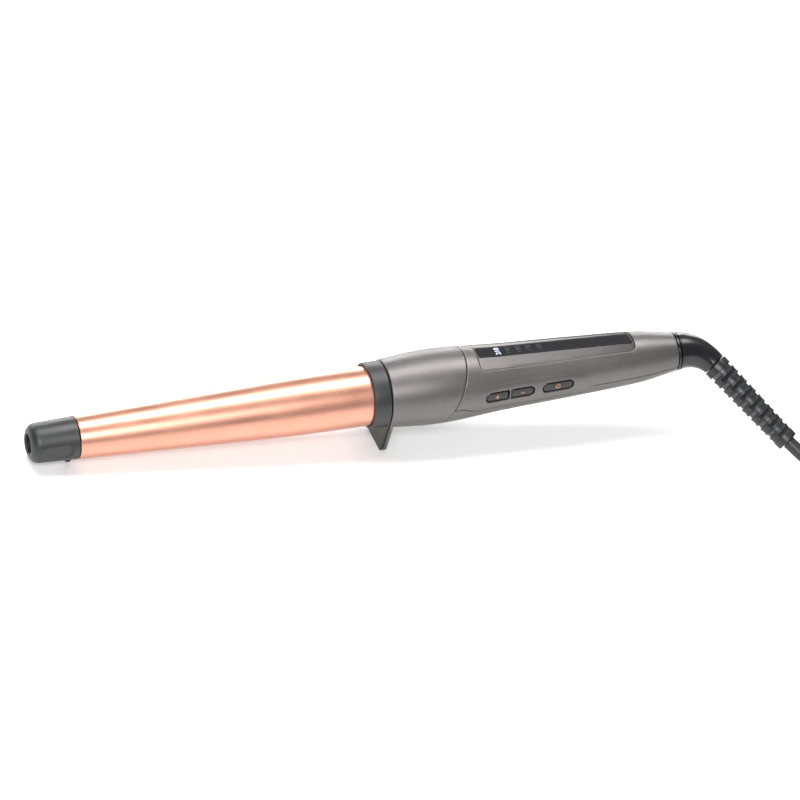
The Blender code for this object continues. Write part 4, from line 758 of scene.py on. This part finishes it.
def through(points, steps):
    """Points on a smooth curve through the given ones."""
    ends = [points[0] * 2 - points[1]] + points + [points[-1] * 2 - points[-2]]
    curve = []
    for i in range(1, len(ends) - 2):
        p0, p1, p2, p3 = ends[i - 1:i + 3]
        for k in range(steps):
            u = k / steps
            curve.append((p1 * 2 + (p2 - p0) * u + (p0 * 2 - p1 * 5 + p2 * 4 - p3) * u * u
                          + (p1 * 3 - p0 - p2 * 3 + p3) * u**3) / 2)
    curve.append(points[-1])
    return curve


def cord_route():
    lead = through([Vector(p) for p in CORD_LEAD], 3)
    joining = [Vector(p) for p in CORD_JOINING]
    turns = spaced(0.0, COIL_TURNS * 360.0, round(COIL_TURNS * COIL_POINTS))
    coil = [coil_point(a) for a in turns]
    leaving = [Vector(p) for p in CORD_LEAVING]
    tail = through([Vector(p) for p in CORD_TAIL], 3)
    return lead + joining + coil + leaving + tail


def build_cord():
    route = cord_route()
    curve = bpy.data.curves.new("mains_cord", "CURVE")
    curve.dimensions = "3D"
    curve.bevel_depth = CORD_DIAMETER / 2
    curve.bevel_resolution = 5
    curve.resolution_u = 4
    curve.use_fill_caps = True
    spline = curve.splines.new("BEZIER")
    spline.bezier_points.add(len(route) - 1)
    for i, p in enumerate(route):
        before, after = route[max(i - 1, 0)], route[min(i + 1, len(route) - 1)]
        ahead = (after - before).normalized()
        point = spline.bezier_points[i]
        point.co = p
        point.handle_left = p - ahead * (p - before).length / 3
        point.handle_right = p + ahead * (after - p).length / 3
    cord = attach(bpy.data.objects.new("mains_cord", curve), finish(cord_pvc), "cord_swivel",
                  ("power_cord", "cord_coil", "cord_tail"))
    plug = build_plug()
    tie = build_tie()


def build_tie():
    """Hook-and-loop strap round the coil, with the step where its end laps over."""
    inner, outer = 25.2 - 0.5, 45.2 + 0.5
    low, high = 0.55, 20.6
    outline = filleted([(inner, low), (outer, low), (outer, high), (inner, high)], 2.6, 6)
    outline = resampled(outline, 1.0)
    middle = Vector(((inner + outer) / 2, (low + high) / 2))
    x0, y0 = COIL_MIDDLE[0] / MM, COIL_MIDDLE[1] / MM
    half, thick = 4.0, 0.28
    rings = []
    for k, (r, z) in enumerate(outline):
        out = (Vector((r, z)) - middle)
        out = Vector((out.x / 10.5, out.y / 10.0))
        out.normalize()
        lap = 0.12 * smooth_step((k - 4) / 3) * (1 - smooth_step((k - 22) / 3))
        ring = []
        for side, lift in ((-half, -thick), (-half - 0.1, 0.0), (-half, thick), (0.0, thick + 0.1),
                           (half, thick), (half + 0.1, 0.0), (half, -thick), (0.0, -thick)):
            rr = r + out.x * (lift + (lap if lift > 0 else 0.0))
            zz = z + out.y * (lift + (lap if lift > 0 else 0.0))
            ca, sa = math.cos(TIE_ANGLE), math.sin(TIE_ANGLE)
            ring.append((x0 + rr * ca - side * sa, y0 + rr * sa + side * ca, zz))
        rings.append(ring)
    verts = [p for ring in rings for p in ring]
    faces = grid_faces(len(rings), 8, wrap_rows=True)
    weave = finish(plastic, "woven_polyamide_strap", "#1B1B1D", 0.5, 0.25, (0.7, 0.85), 0.5)
    return piece("cord_strap", verts, faces, weave, "cord_swivel", ("cord_tie",), WORLD)


def build_plug():
    """Flat two-pin plug: a waisted body, flat on its faces, and two sleeved pins."""
    x0, y, z = CORD_TAIL[-1][0] / MM + 0.3, CORD_TAIL[-1][1] / MM, CORD_TAIL[-1][2] / MM
    rings = []
    for share, half, tall in ((0.0, 3.6, 3.6), (0.0, 4.6, 4.4), (0.02, 5.0, 4.8), (0.12, 5.6, 5.4),
                              (0.22, 6.6, 6.0), (0.34, 9.6, 6.5), (0.46, 13.6, 6.7),
                              (0.56, 16.6, 6.8), (0.64, 17.3, 6.8), (0.80, 17.4, 6.8),
                              (0.97, 17.4, 6.8), (0.99, 17.1, 6.6), (1.0, 16.6, 6.1)):
        ring = []
        for a in spaced(0.0, 2 * math.pi, 64)[:-1]:
            c, s = math.cos(a), math.sin(a)
            ring.append((x0 + share * PLUG_LENGTH, y - half * math.copysign(abs(c) ** 0.55, c),
                         z + tall * math.copysign(abs(s) ** 0.55, s)))
        rings.append(ring)
    body = lofted("mains_plug", rings,
                  finish(plastic, "moulded_pvc_plug", "#151517", 0.8, 0.12, (0.40, 0.52), 0.08),
                  "cord_swivel", ("plug_body",), WORLD)
    made = [body]
    face = x0 + PLUG_LENGTH
    for name, side in (("live", -1), ("neutral", 1)):
        at = WORLD @ Matrix.Translation((face, y - side * PIN_SPACING / 2, z))
        sleeve = [(-5.0, 0.5), (-5.0, 1.95), (10.0, 1.95, 0.1), (10.2, 1.75, 0.1), (10.2, 0.5)]
        made.append(turned("pin_sleeve_" + name, filleted(sleeve, 0.05),
                           finish(plastic, "pin_sleeve_nylon", "#1A1A1C", 0.5, 0.1, (0.35, 0.45), 0.05),
                           "cord_swivel", ("plug_pin_" + name,), 40, at))
        tip = [(9.8, 0.0), (9.8, 1.9), (17.4, 1.9, 1.2), (19.0, 1.1, 0.8), (19.0, 0.0)]
        made.append(turned("pin_tip_" + name, filleted(tip, 0.1),
                           finish(metal, "nickel_plated_brass", "#C9C4B8", 0.4, 0.06, (0.18, 0.28), 0.03),
                           "cord_swivel", ("plug_pin_" + name,), 40, at))
    return made


# ---------------------------------------------------------------- cool tip and barrel
def build_tip():
    """Cap with a round nose, a deep nose hole, a sunk grip flat on each side and a small foot."""
    profile = [(10.0, 0.0), (10.0, 4.2), (9.6, 4.5), (1.0, 4.6)]
    profile += [(0.9 - 0.9 * math.sin(a), 5.5 - 0.9 * math.cos(a))
                for a in spaced(0.15, math.pi / 2, 5)]
    profile += [(4.5 * (1 - math.cos(a)), 4.8 + 4.5 * math.sin(a))
                for a in spaced(0.25, math.pi / 2, 14)]
    profile += [(x, 9.3 + 0.7 * (x - 4.5) / 17.9) for x in spaced(4.75, 22.1, 70)]
    profile += [(22.3, 9.93), (22.4, 9.75), (22.4, 8.4), (14.0, 8.2), (14.0, 0.0)]
    columns = 256
    verts = []
    for x, r in profile:
        for a in spaced(0.0, 2 * math.pi, columns)[:-1]:
            y, z = -r * math.sin(a), r * math.cos(a)
            if abs(y) > 8.9 and x < X_TIP:
                near = min(max(x, 7.8), 16.1)
                beyond = math.hypot(x - near, z) - 3.3
                share = 1.0 - smooth_step((beyond + 0.28) / 0.36)
                y -= math.copysign(abs(y) - 8.9, y) * share
            verts.append((x, y, z))
    plastic_cap = finish(cap_plastic)
    piece("cool_tip_cap", verts, grid_faces(len(profile), columns, wrap_rows=True), plastic_cap,
          "wand", ("cool_tip",), sharp=60.0)
    dome = [(11.75 + 1.85 * math.sin(a), 1.85 * math.cos(a)) for a in spaced(0.0, math.pi / 2, 10)]
    foot = [(8.6, 0.0), (8.6, 2.6)] + [(9.3, 2.25), (9.8, 1.95), (10.3, 1.85)] + dome
    turned("tip_foot", foot, plastic_cap, "wand", ("cool_tip",), 48,
           WAND @ Matrix.Translation((19.9, 0.0, 0.0)) @ Matrix.Rotation(math.pi / 2, 4, "Y"), 60.0)


def build_barrel():
    """Tapered tube with a small bright radius at its front edge."""
    colour = tuple(settings().barrel_colour)
    profile = [(22.7, 8.8), (22.7, 10.1, 0.45), (X_TAPER, BARREL_RADIUS, 16.0),
               (168.8, BARREL_RADIUS, 0.3), (168.8, 12.7), (X_TAPER, 12.7)]
    turned("barrel", filleted(profile, 0.05, 8), finish(rose_gold_coating, colour), "wand",
           ("barrel_tube",), 160)


# ---------------------------------------------------------------- collar, stand and housing
def stand_outline(ring):
    """Outline across the axis: a flat foot whose sides run up to touch the ring."""
    foot = 8.5
    contact = math.atan2(foot, STAND_DROP) + math.acos(ring / math.hypot(foot, STAND_DROP))
    side = (ring * math.sin(contact), -ring * math.cos(contact), 2.0)
    outline = [(-foot, -STAND_DROP, 1.3), (foot, -STAND_DROP, 1.3), side]
    outline += [((ring - 1.2) * math.sin(a), -(ring - 1.2) * math.cos(a), 0.0)
                for a in spaced(contact, -contact, 40)]
    outline.append((-side[0], side[1], 2.0))
    return filleted(outline, 0.0, 6)


def build_collar():
    """Matt ring with a rounded front rim, and a thin dark sheet of the same matt material over the
    stand's front face.
    """
    profile = [(163.6, 14.2), (162.9, 14.5, 0.2), (162.95, 15.0, 0.3), (163.5, 15.5, 0.3),
               (171.1, COLLAR_RADIUS, 0.3), (171.2, 14.3), (168.0, 14.2)]
    matt = finish(collar_plastic)
    turned("collar_ring", filleted(profile, 0.1), matt, "wand", ("barrel_collar",), 160)
    # A thin dark sheet in the collar's matt material covers the front face of the stand's fin, so that
    # face renders dark.
    plate("stand_front_dark_sheet", stand_outline(COLLAR_RADIUS - 0.05), 170.45, 171.35, 0.2, matt, "wand",
          ("barrel_collar",), lambda u, v, h: (h, u, v))


def build_housing():
    """Full housing behind the collar, its rear edge raked back, with the stand's fin."""
    lacquer = finish(gunmetal_lacquer, tuple(settings().handle_colour))
    front, rear = 0.7, settings().edge_rounding
    quarter = spaced(0.0, math.pi / 2, 5)
    columns = 160
    rows = [("front", 4.0, 2.3), ("front", 0.0, 2.3)]
    rows += [("front", front * (1 - math.cos(a)), front * (1 - math.sin(a))) for a in quarter]
    rows += [("body", share, 0.0) for share in spaced(0.02, 0.98, 30)]
    rows += [("rear", rear * (1 - math.sin(a)), rear * (1 - math.cos(a))) for a in quarter]
    rows += [("rear", 0.0, 1.8), ("rear", 3.0, 2.3)]
    verts = []
    for kind, place, inset in rows:
        for a in spaced(0.0, 2 * math.pi, columns)[:-1]:
            x0 = X_HANDLE + FIT
            x1 = RAKE
            for _ in range(6):
                x1 = RAKE - SEAM / 2 + RAKE_SLOPE * handle_radius(x1) * math.cos(a)
            if kind == "front":
                x = x0 + place
            elif kind == "rear":
                x = x1 - place
            else:
                x = x0 + front + (x1 - rear - x0 - front) * place
            r = handle_radius(x) - inset
            verts.append((x, -r * math.sin(a), r * math.cos(a)))
    piece("front_housing_shell", verts, grid_faces(len(rows), columns, wrap_rows=True), lacquer,
          "wand", ("front_housing",))
    plate("stand_fin", stand_outline(15.95), X_HANDLE + 0.45, X_HANDLE + 2.3, 0.45, lacquer, "wand",
          ("front_housing",), lambda u, v, h: (h, u, v))


# ---------------------------------------------------------------- handle shells
def shell_angle(x, offset):
    """Angle from the top to the seam between the shells at x."""
    return math.acos((seam_height(x) + offset) / handle_radius(x))


def shell_front(offset):
    x = RAKE
    for _ in range(6):
        x = RAKE + SEAM / 2 + RAKE_SLOPE * (seam_height(x) + offset)
    return x


def raked(angle):
    x = RAKE
    for _ in range(6):
        x = RAKE + SEAM / 2 + RAKE_SLOPE * handle_radius(x) * math.cos(angle)
    return x


def key_hole(start, length, square_front, square_rear):
    """Key opening on the unrolled handle."""
    hole = []
    for s, across in stadium(start, length, KEY_WIDTH, square_front, square_rear, KEY_GAP):
        angle = KEY_TURN - math.asin(across / (handle_radius(s) + 0.35))
        hole.append((s, angle * UNROLL))
    return hole


def panel_outline(grow):
    """Plan of the display panel: narrower at the rear, with round corners."""
    x0, x1 = PANEL_FRONT - grow, PANEL_REAR + grow
    front, rear, corner = 9.8 + grow, 7.1 + grow, 2.5 + grow
    return filleted([(x0, -front, corner), (x1, -rear, corner * 1.3), (x1, rear, corner * 1.3),
                     (x0, front, corner)], 0.0, 8)


def build_shells():
    """Two shells: the upper with the key openings and the display's pocket, the lower with two round
    holes.
    """
    lacquer = finish(gunmetal_lacquer, tuple(settings().handle_colour))
    edge = settings().edge_rounding
    for name, nodes, offset, above in (("upper_handle_shell", ("upper_shell",), SEAM / 2, True),
                                       ("lower_handle_shell", ("lower_shell",), -SEAM / 2, False)):
        start = shell_front(offset)
        stations = spaced(start, X_END, 90)
        seam = [(x, shell_angle(x, offset)) for x in stations]
        near = [(x, a * UNROLL) for x, a in seam]
        if above:
            far = [(x, -a * UNROLL) for x, a in seam]
            front = [(raked(a), a * UNROLL) for a in spaced(seam[0][1], -seam[0][1], 60)[1:-1]]
            outline = list(reversed(near)) + front + far
        else:
            far = [(x, (2 * math.pi - a) * UNROLL) for x, a in seam]
            front = [(raked(a), a * UNROLL)
                     for a in spaced(2 * math.pi - seam[0][1], seam[0][1], 60)[1:-1]]
            outline = near + list(reversed(far)) + front
        loops = [outline]
        if above:
            loops += [key_hole(*key[1:]) for key in KEYS]
            pocket = [(x, -math.asin(y / handle_radius(x)) * UNROLL)
                      for x, y in resampled(panel_outline(SEAM), 1.0)]
            loops.append(pocket)
        else:
            for x in (X_HANDLE + 41.8, X_END - 19.4):
                loops.append([(x + 2.8 * math.cos(a), (math.pi + 2.8 * math.sin(a)
                                                       / handle_radius(x)) * UNROLL)
                              for a in spaced(0.0, 2 * math.pi, 40)[:-1]])
        skin(name, loops, on_handle, lacquer, "wand", nodes, edge=edge, wall=1.7, spacing=1.0)


# ---------------------------------------------------------------- display
def figures(text, x, size, grow, lift, material, name):
    """Numbers on the window, upright when the wand is held with its tip up."""
    curve = bpy.data.curves.new(name, "FONT")
    curve.body = text
    curve.size = size
    curve.align_x = "CENTER"
    curve.align_y = "CENTER"
    curve.offset = grow
    curve.extrude = 0.004
    source = bpy.data.objects.new(name + "_source", curve)
    bpy.context.scene.collection.objects.link(source)
    depsgraph = bpy.context.evaluated_depsgraph_get()
    mesh = bpy.data.meshes.new_from_object(source.evaluated_get(depsgraph))
    verts = [on_window(x - v.co.y, v.co.x, lift + v.co.z) for v in mesh.vertices]
    faces = [list(p.vertices) for p in mesh.polygons]
    bpy.data.objects.remove(source)
    piece(name, verts, faces, material, "wand", ("display_window",), close=False)


def build_display():
    """Lacquered panel with a smoked strip and the numbers behind it, the first one lit."""
    lacquer = finish(gunmetal_lacquer, tuple(settings().handle_colour))
    gap = WINDOW_HALF + FIT
    slot = filleted([(PANEL_FRONT + 0.7, -gap), (PANEL_REAR - 0.7, -gap), (PANEL_REAR - 0.7, gap),
                     (PANEL_FRONT + 0.7, gap)], 0.5)
    skin("display_panel_trim", [panel_outline(0.0), slot], on_panel, lacquer, "wand",
         ("display_panel",), edge=0.22, wall=1.6, spacing=1.3, sharp=14.0)
    pane = filleted([(PANEL_FRONT + 0.9, -WINDOW_HALF), (PANEL_REAR - 0.9, -WINDOW_HALF),
                     (PANEL_REAR - 0.9, WINDOW_HALF), (PANEL_FRONT + 0.9, WINDOW_HALF)], 0.4)
    skin("display_pane", [pane], on_window, finish(window_acrylic), "wand", ("display_window",),
         edge=0.15, wall=0.9, spacing=1.6, fine=0.8)
    size = settings().figure_height
    lit = finish(lamp_figures, "lit_figures", linear("#F2F8FF"), settings().lamp_strength)
    halo = finish(lamp_figures, "lamp_halo", linear("#4E86C4"), 0.7 * settings().lamp_strength)
    # No lamp lights the unlit figures: their grey is a faint painted glow.
    unlit_glow = finish(lamp_figures, "unlit_figures", linear("#6A6E74"), 0.28)
    places = spaced(PANEL_FRONT + 11.0, PANEL_FRONT + 11.0 + 4 * 5.3, 4)
    figures("210", places[0], size, 0.16, 0.012, halo, "figures_210_halo")
    for text, x in zip(("210", "190", "180", "170", "150"), places):
        chosen = text == "210"
        figures(text, x, size, 0.03 if chosen else -0.03, 0.03 if chosen else 0.012,
                lit if chosen else unlit_glow, "figures_" + text)


# ---------------------------------------------------------------- keys
def build_keys():
    """Polished keys with softly rounded faces, each with its stamped sign."""
    gloss = finish(gloss_abs)
    foil = finish(copper_foil)
    for name, start, length, square_front, square_rear in KEYS:
        body = name + "_key"
        node = (name + "_button",)
        outline = stadium(start, length, KEY_WIDTH, square_front, square_rear)
        skin(name + "_cap", [outline], on_key(KEY_RECESS), gloss, body, node, edge=0.75, wall=1.6,
             spacing=0.6, fine=0.3)
        middle = start + length / 2
        a, b = 0.17, 1.05
        if name == "temp_up":
            mark = [[(middle + x, t - 0.3) for x, t in (
                (-b, -a), (-a, -a), (-a, -b), (a, -b), (a, -a), (b, -a), (b, a), (a, a), (a, b),
                (-a, b), (-a, a), (-b, a))]]
        elif name == "temp_down":
            mark = [[(middle + x, t - 0.3) for x, t in ((-b, -a), (b, -a), (b, a), (-b, a))]]
        else:
            sweep = spaced(math.radians(125), math.radians(415), 30)
            ring = [(1.15 * math.cos(u), 1.15 * math.sin(u)) for u in sweep]
            ring += [(0.85 * math.cos(u), 0.85 * math.sin(u)) for u in reversed(sweep)]
            mark = [[(middle + x, t - 0.1) for x, t in ring]]
            bar = [[(middle + x, t - 0.1) for x, t in ((-0.15, 0.35), (0.15, 0.35), (0.15, 1.45),
                                                       (-0.15, 1.45))]]
            skin(name + "_bar", bar, on_key(KEY_RECESS - 0.03), foil, body, node, edge=0.02,
                 wall=0.02, spacing=0.3, fine=0.15)
        skin(name + "_sign", mark, on_key(KEY_RECESS - 0.03), foil, body, node, edge=0.02,
             wall=0.02, spacing=0.3, fine=0.15)


# ---------------------------------------------------------------- swivel, elbow and strain relief
def build_swivel():
    """Lip of the bush at the handle's end and the bent horn that turns in it."""
    black = finish(elbow_nylon)
    lip = [(X_END - 7.0, 5.25), (X_END - 7.0, 7.0), (X_END - 0.2, 7.0), (X_LIP, 8.6, 0.2),
           (X_LIP + 0.1, 9.2, 0.4), (X_LIP + 1.3, 9.2, 0.4), (X_LIP + 1.3, 5.25)]
    turned("swivel_lip", filleted(lip, 0.05), black, "wand", ("swivel_bush",), 128)
    rings = []

    def ring(middle, inward, across, radius):
        rings.append([tuple(middle + inward * radius * math.cos(a) + across * radius * math.sin(a))
                      for a in spaced(0.0, 2 * math.pi, 96)[:-1]])

    inward, across = elbow_frame(0.0)
    for ahead, radius in ((-6.0, 4.9), (0.0, 4.9), (0.0, 8.7), (0.06, 8.95), (0.2, 9.13)):
        ring(Vector((X_ELBOW + ahead, 0.0, 0.0)), inward, across, radius)
    for u in spaced(0.05, 1.0, 56):
        share = smooth_step(u) * 0.6 + 0.4 * u
        radius = 9.2 + share * (5.9 - 9.2)
        if u < 1 / 9:
            ring(Vector((X_ELBOW + 9 * u, 0.0, 0.0)), inward, across, radius)
            continue
        angle = (9 * u - 1) / 8 * ELBOW_ANGLE
        last = 0.35 * smooth_step((u - 0.975) / 0.025)
        ring(elbow_point(angle), *elbow_frame(angle), radius - last)
    end, ahead = elbow_point(ELBOW_ANGLE), elbow_direction(ELBOW_ANGLE)
    inward, across = elbow_frame(ELBOW_ANGLE)
    for along, radius in ((0.0, 3.6), (-4.0, 3.6)):
        ring(end + ahead * along, inward, across, radius)
    lofted("elbow_horn", rings, black, "cord_swivel", ("cord_elbow",), sharp=40.0)


def build_relief():
    """Tapered sleeve whose slots turn a quarter from one to the next, down to a flat-sided core."""
    end, ahead = elbow_point(ELBOW_ANGLE), elbow_direction(ELBOW_ANGLE)
    inward, across = elbow_frame(ELBOW_ANGLE)
    z_end = FIT + RELIEF_LENGTH
    head = FIT + 3.0
    angles = spaced(0.0, 2 * math.pi, 144)[:-1]
    rings = []

    def sleeve(z):
        return 6.3 - max(z - head, 0.0) / (z_end - head)

    def ring(z, radius, slot=None):
        points = []
        for a in angles:
            r = radius
            if slot is not None:
                wide = abs(math.cos(a) if slot == 0 else math.sin(a))
                r = min(r, RELIEF_CORE / max(wide, 1e-6))
            points.append(tuple(end + ahead * z + inward * r * math.cos(a)
                                + across * r * math.sin(a)))
        rings.append(points)

    lips = [(0.3 * (1 - math.sin(a)), 0.3 * (1 - math.cos(a)))
            for a in spaced(0.0, math.pi / 2, 4)]
    ring(FIT - 4.0, 3.3)
    ring(FIT, 3.3)
    for along, drop in reversed(lips):
        ring(FIT + along, sleeve(FIT) - drop)
    count = int((RELIEF_LENGTH - 3.0 - 2 * RELIEF_SLOT) / RELIEF_PITCH)
    start = head + RELIEF_SLOT
    low = FIT + 0.3
    for k in range(count):
        z = start + k * RELIEF_PITCH
        front, rear = z - RELIEF_SLOT / 2, z + RELIEF_SLOT / 2
        dip = 0.10 if k else 0.0
        for share in (0.3, 0.5, 0.7):
            at = low + (front - 0.3 - low) * share
            ring(at, sleeve(at) - dip * math.sin(math.pi * share) ** 2)
        for along, drop in lips:
            ring(front - along, sleeve(front) - drop)
        ring(front, sleeve(front) - 0.3, k % 2)
        ring(rear, sleeve(rear) - 0.3, k % 2)
        for along, drop in reversed(lips):
            ring(rear + along, sleeve(rear) - drop)
        low = rear + 0.3
    for share in (0.25, 0.5, 0.75):
        at = low + (z_end - 0.5 - low) * share
        ring(at, sleeve(at))
    for a in spaced(0.0, math.pi / 2, 4):
        ring(z_end - 0.5 + 0.5 * math.sin(a), 5.3 - 0.5 * (1 - math.cos(a)))
    ring(z_end, 3.3)
    ring(z_end - 4.0, 3.25)
    lofted("strain_relief_sleeve", rings, finish(relief_rubber), "cord_swivel", ("strain_relief",),
           sharp=48.0)


# ---------------------------------------------------------------- pieces kept from the frame
def build_inside():
    """Finishes of the pieces inside, each by what it is really made of."""
    # Extruded aluminium: fine lines of the die, seen as a soft grain.
    extruded = finish(metal, "extruded_aluminium", "#C4C6C9", 0.25, 0.06, (0.28, 0.40), 0.08)
    # Zinc plate over steel: bright, a little cloudy.
    zinc = finish(metal, "zinc_plated_steel", "#BEC1C6", 0.4, 0.08, (0.24, 0.38), 0.05)
    # Stamped phosphor bronze and brass contacts: warm and slightly tarnished.
    brass = finish(metal, "stamped_brass", "#C9A45C", 0.5, 0.12, (0.25, 0.40), 0.05)
    # Sintered alumina: matt white with a chalky grain.
    ceramic = finish(plastic, "sintered_alumina", "#E6E1D6", 0.3, 0.05, (0.6, 0.75), 0.10)
    # Paper-filled phenolic, machined: brown with fibres about half a millimetre long.
    phenolic = finish(plastic, "paper_phenolic", "#5A3420", 0.5, 0.22, (0.45, 0.60), 0.12)
    # Glass-fibre board under solder mask: green, with the weave just visible.
    board = finish(plastic, "solder_masked_board", "#1E5C33", 0.6, 0.12, (0.28, 0.40), 0.10)
    # Unfilled nylon: milky and slightly glossy.
    nylon = finish(plastic, "natural_nylon", "#D6D0C2", 0.6, 0.05, (0.35, 0.48), 0.05)
    # Dipped epoxy: brick red with a faint orange peel.
    epoxy = finish(plastic, "dipped_epoxy", "#8C2A1E", 0.9, 0.10, (0.30, 0.42), 0.15)
    # Black PBT with glass fill, as small switches and carriers are moulded.
    pbt = finish(plastic, "glass_filled_pbt", "#1C1C1E", 0.4, 0.14, (0.42, 0.56), 0.12)
    braid = finish(glass_braid)
    kept = {
        extruded: ("heat_spreader_upper", "heat_spreader_lower"),
        zinc: ("tip_screw", "tip_anchor", "thermal_fuse", "barrel_screw_near", "barrel_screw_far",
               "board_screw_front", "board_screw_rear", "handle_screw_front", "handle_screw_rear"),
        brass: ("contact_spring_live", "contact_spring_neutral", "slip_ring_live",
                "slip_ring_neutral"),
        ceramic: ("ptc_element", "thermistor"),
        phenolic: ("barrel_bush", "contact_carrier"),
        board: ("control_board",),
        nylon: ("display_module",),
        epoxy: ("supply_capacitor",),
        pbt: ("handle_chassis", "temp_up_switch", "temp_down_switch", "power_switch", "triac"),
        braid: ("heater_wire_live", "heater_wire_neutral", "sensor_wire"),
        finish(cord_pvc): ("supply_wire_live", "supply_wire_neutral"),
    }
    for material, names in kept.items():
        for name in names:
            materials = frame["nodes"][name].data.materials
            materials.clear()
            materials.append(material)


# ---------------------------------------------------------------- operators and panel
class WANDLOOK_OT_stage(Operator):
    """Add the camera, the studio floor and the lights"""
    bl_idname = "wandlook.stage"
    bl_label = "Stage and Camera"

    def execute(self, context):
        return run(build_stage)


class WANDLOOK_OT_cord(Operator):
    """Add the mains cord with its coil, strap and plug"""
    bl_idname = "wandlook.cord"
    bl_label = "Cord and Plug"

    def execute(self, context):
        return run(build_cord)


class WANDLOOK_OT_tip(Operator):
    """Add the cool tip and its foot"""
    bl_idname = "wandlook.tip"
    bl_label = "Cool Tip"

    def execute(self, context):
        return run(build_tip)


class WANDLOOK_OT_barrel(Operator):
    """Add the tapered barrel"""
    bl_idname = "wandlook.barrel"
    bl_label = "Barrel"

    def execute(self, context):
        return run(build_barrel)


class WANDLOOK_OT_collar(Operator):
    """Add the collar and the dark sheet over the stand's front face"""
    bl_idname = "wandlook.collar"
    bl_label = "Collar"

    def execute(self, context):
        return run(build_collar)


class WANDLOOK_OT_housing(Operator):
    """Add the front housing and the stand's fin"""
    bl_idname = "wandlook.housing"
    bl_label = "Front Housing"

    def execute(self, context):
        return run(build_housing)


class WANDLOOK_OT_shells(Operator):
    """Add the two handle shells"""
    bl_idname = "wandlook.shells"
    bl_label = "Handle Shells"

    def execute(self, context):
        return run(build_shells)


class WANDLOOK_OT_display(Operator):
    """Add the display's panel, its window and its numbers"""
    bl_idname = "wandlook.display"
    bl_label = "Display"

    def execute(self, context):
        return run(build_display)


class WANDLOOK_OT_keys(Operator):
    """Add the three keys and their signs"""
    bl_idname = "wandlook.keys"
    bl_label = "Keys"

    def execute(self, context):
        return run(build_keys)


class WANDLOOK_OT_swivel(Operator):
    """Add the swivel's lip and the cord's elbow"""
    bl_idname = "wandlook.swivel"
    bl_label = "Swivel and Elbow"

    def execute(self, context):
        return run(build_swivel)


class WANDLOOK_OT_relief(Operator):
    """Add the slotted strain relief"""
    bl_idname = "wandlook.relief"
    bl_label = "Strain Relief"

    def execute(self, context):
        return run(build_relief)


class WANDLOOK_OT_inside(Operator):
    """Finish the pieces inside the wand"""
    bl_idname = "wandlook.inside"
    bl_label = "Inner Pieces"

    def execute(self, context):
        return run(build_inside)


OPERATORS = (
    WANDLOOK_OT_stage, WANDLOOK_OT_cord, WANDLOOK_OT_tip, WANDLOOK_OT_barrel, WANDLOOK_OT_collar,
    WANDLOOK_OT_housing, WANDLOOK_OT_shells, WANDLOOK_OT_display, WANDLOOK_OT_keys,
    WANDLOOK_OT_swivel, WANDLOOK_OT_relief, WANDLOOK_OT_inside,
)


class WANDLOOK_PT_panel(Panel):
    """Settings and builders of the curling wand"""
    bl_idname = "WANDLOOK_PT_panel"
    bl_label = "Conical Curling Wand"
    bl_space_type = "VIEW_3D"
    bl_region_type = "UI"
    bl_category = "Wand"

    def draw(self, context):
        for name in WANDLOOK_PG_settings.__annotations__:
            self.layout.prop(context.scene.wandlook, name)
        for operator in OPERATORS:
            self.layout.operator(operator.bl_idname)


def register():
    for cls in (WANDLOOK_PG_settings, *OPERATORS, WANDLOOK_PT_panel):
        bpy.utils.register_class(cls)
    bpy.types.Scene.wandlook = PointerProperty(type=WANDLOOK_PG_settings)


def unregister():
    del bpy.types.Scene.wandlook
    for cls in (WANDLOOK_PT_panel, *reversed(OPERATORS), WANDLOOK_PG_settings):
        bpy.utils.unregister_class(cls)


def main():
    register()
    bpy.ops.wandlook.stage()
    bpy.ops.wandlook.cord()
    bpy.ops.wandlook.tip()
    bpy.ops.wandlook.barrel()
    bpy.ops.wandlook.collar()
    bpy.ops.wandlook.housing()
    bpy.ops.wandlook.shells()
    bpy.ops.wandlook.display()
    bpy.ops.wandlook.keys()
    bpy.ops.wandlook.swivel()
    bpy.ops.wandlook.relief()
    bpy.ops.wandlook.inside()


if __name__ == "__main__":
    main()
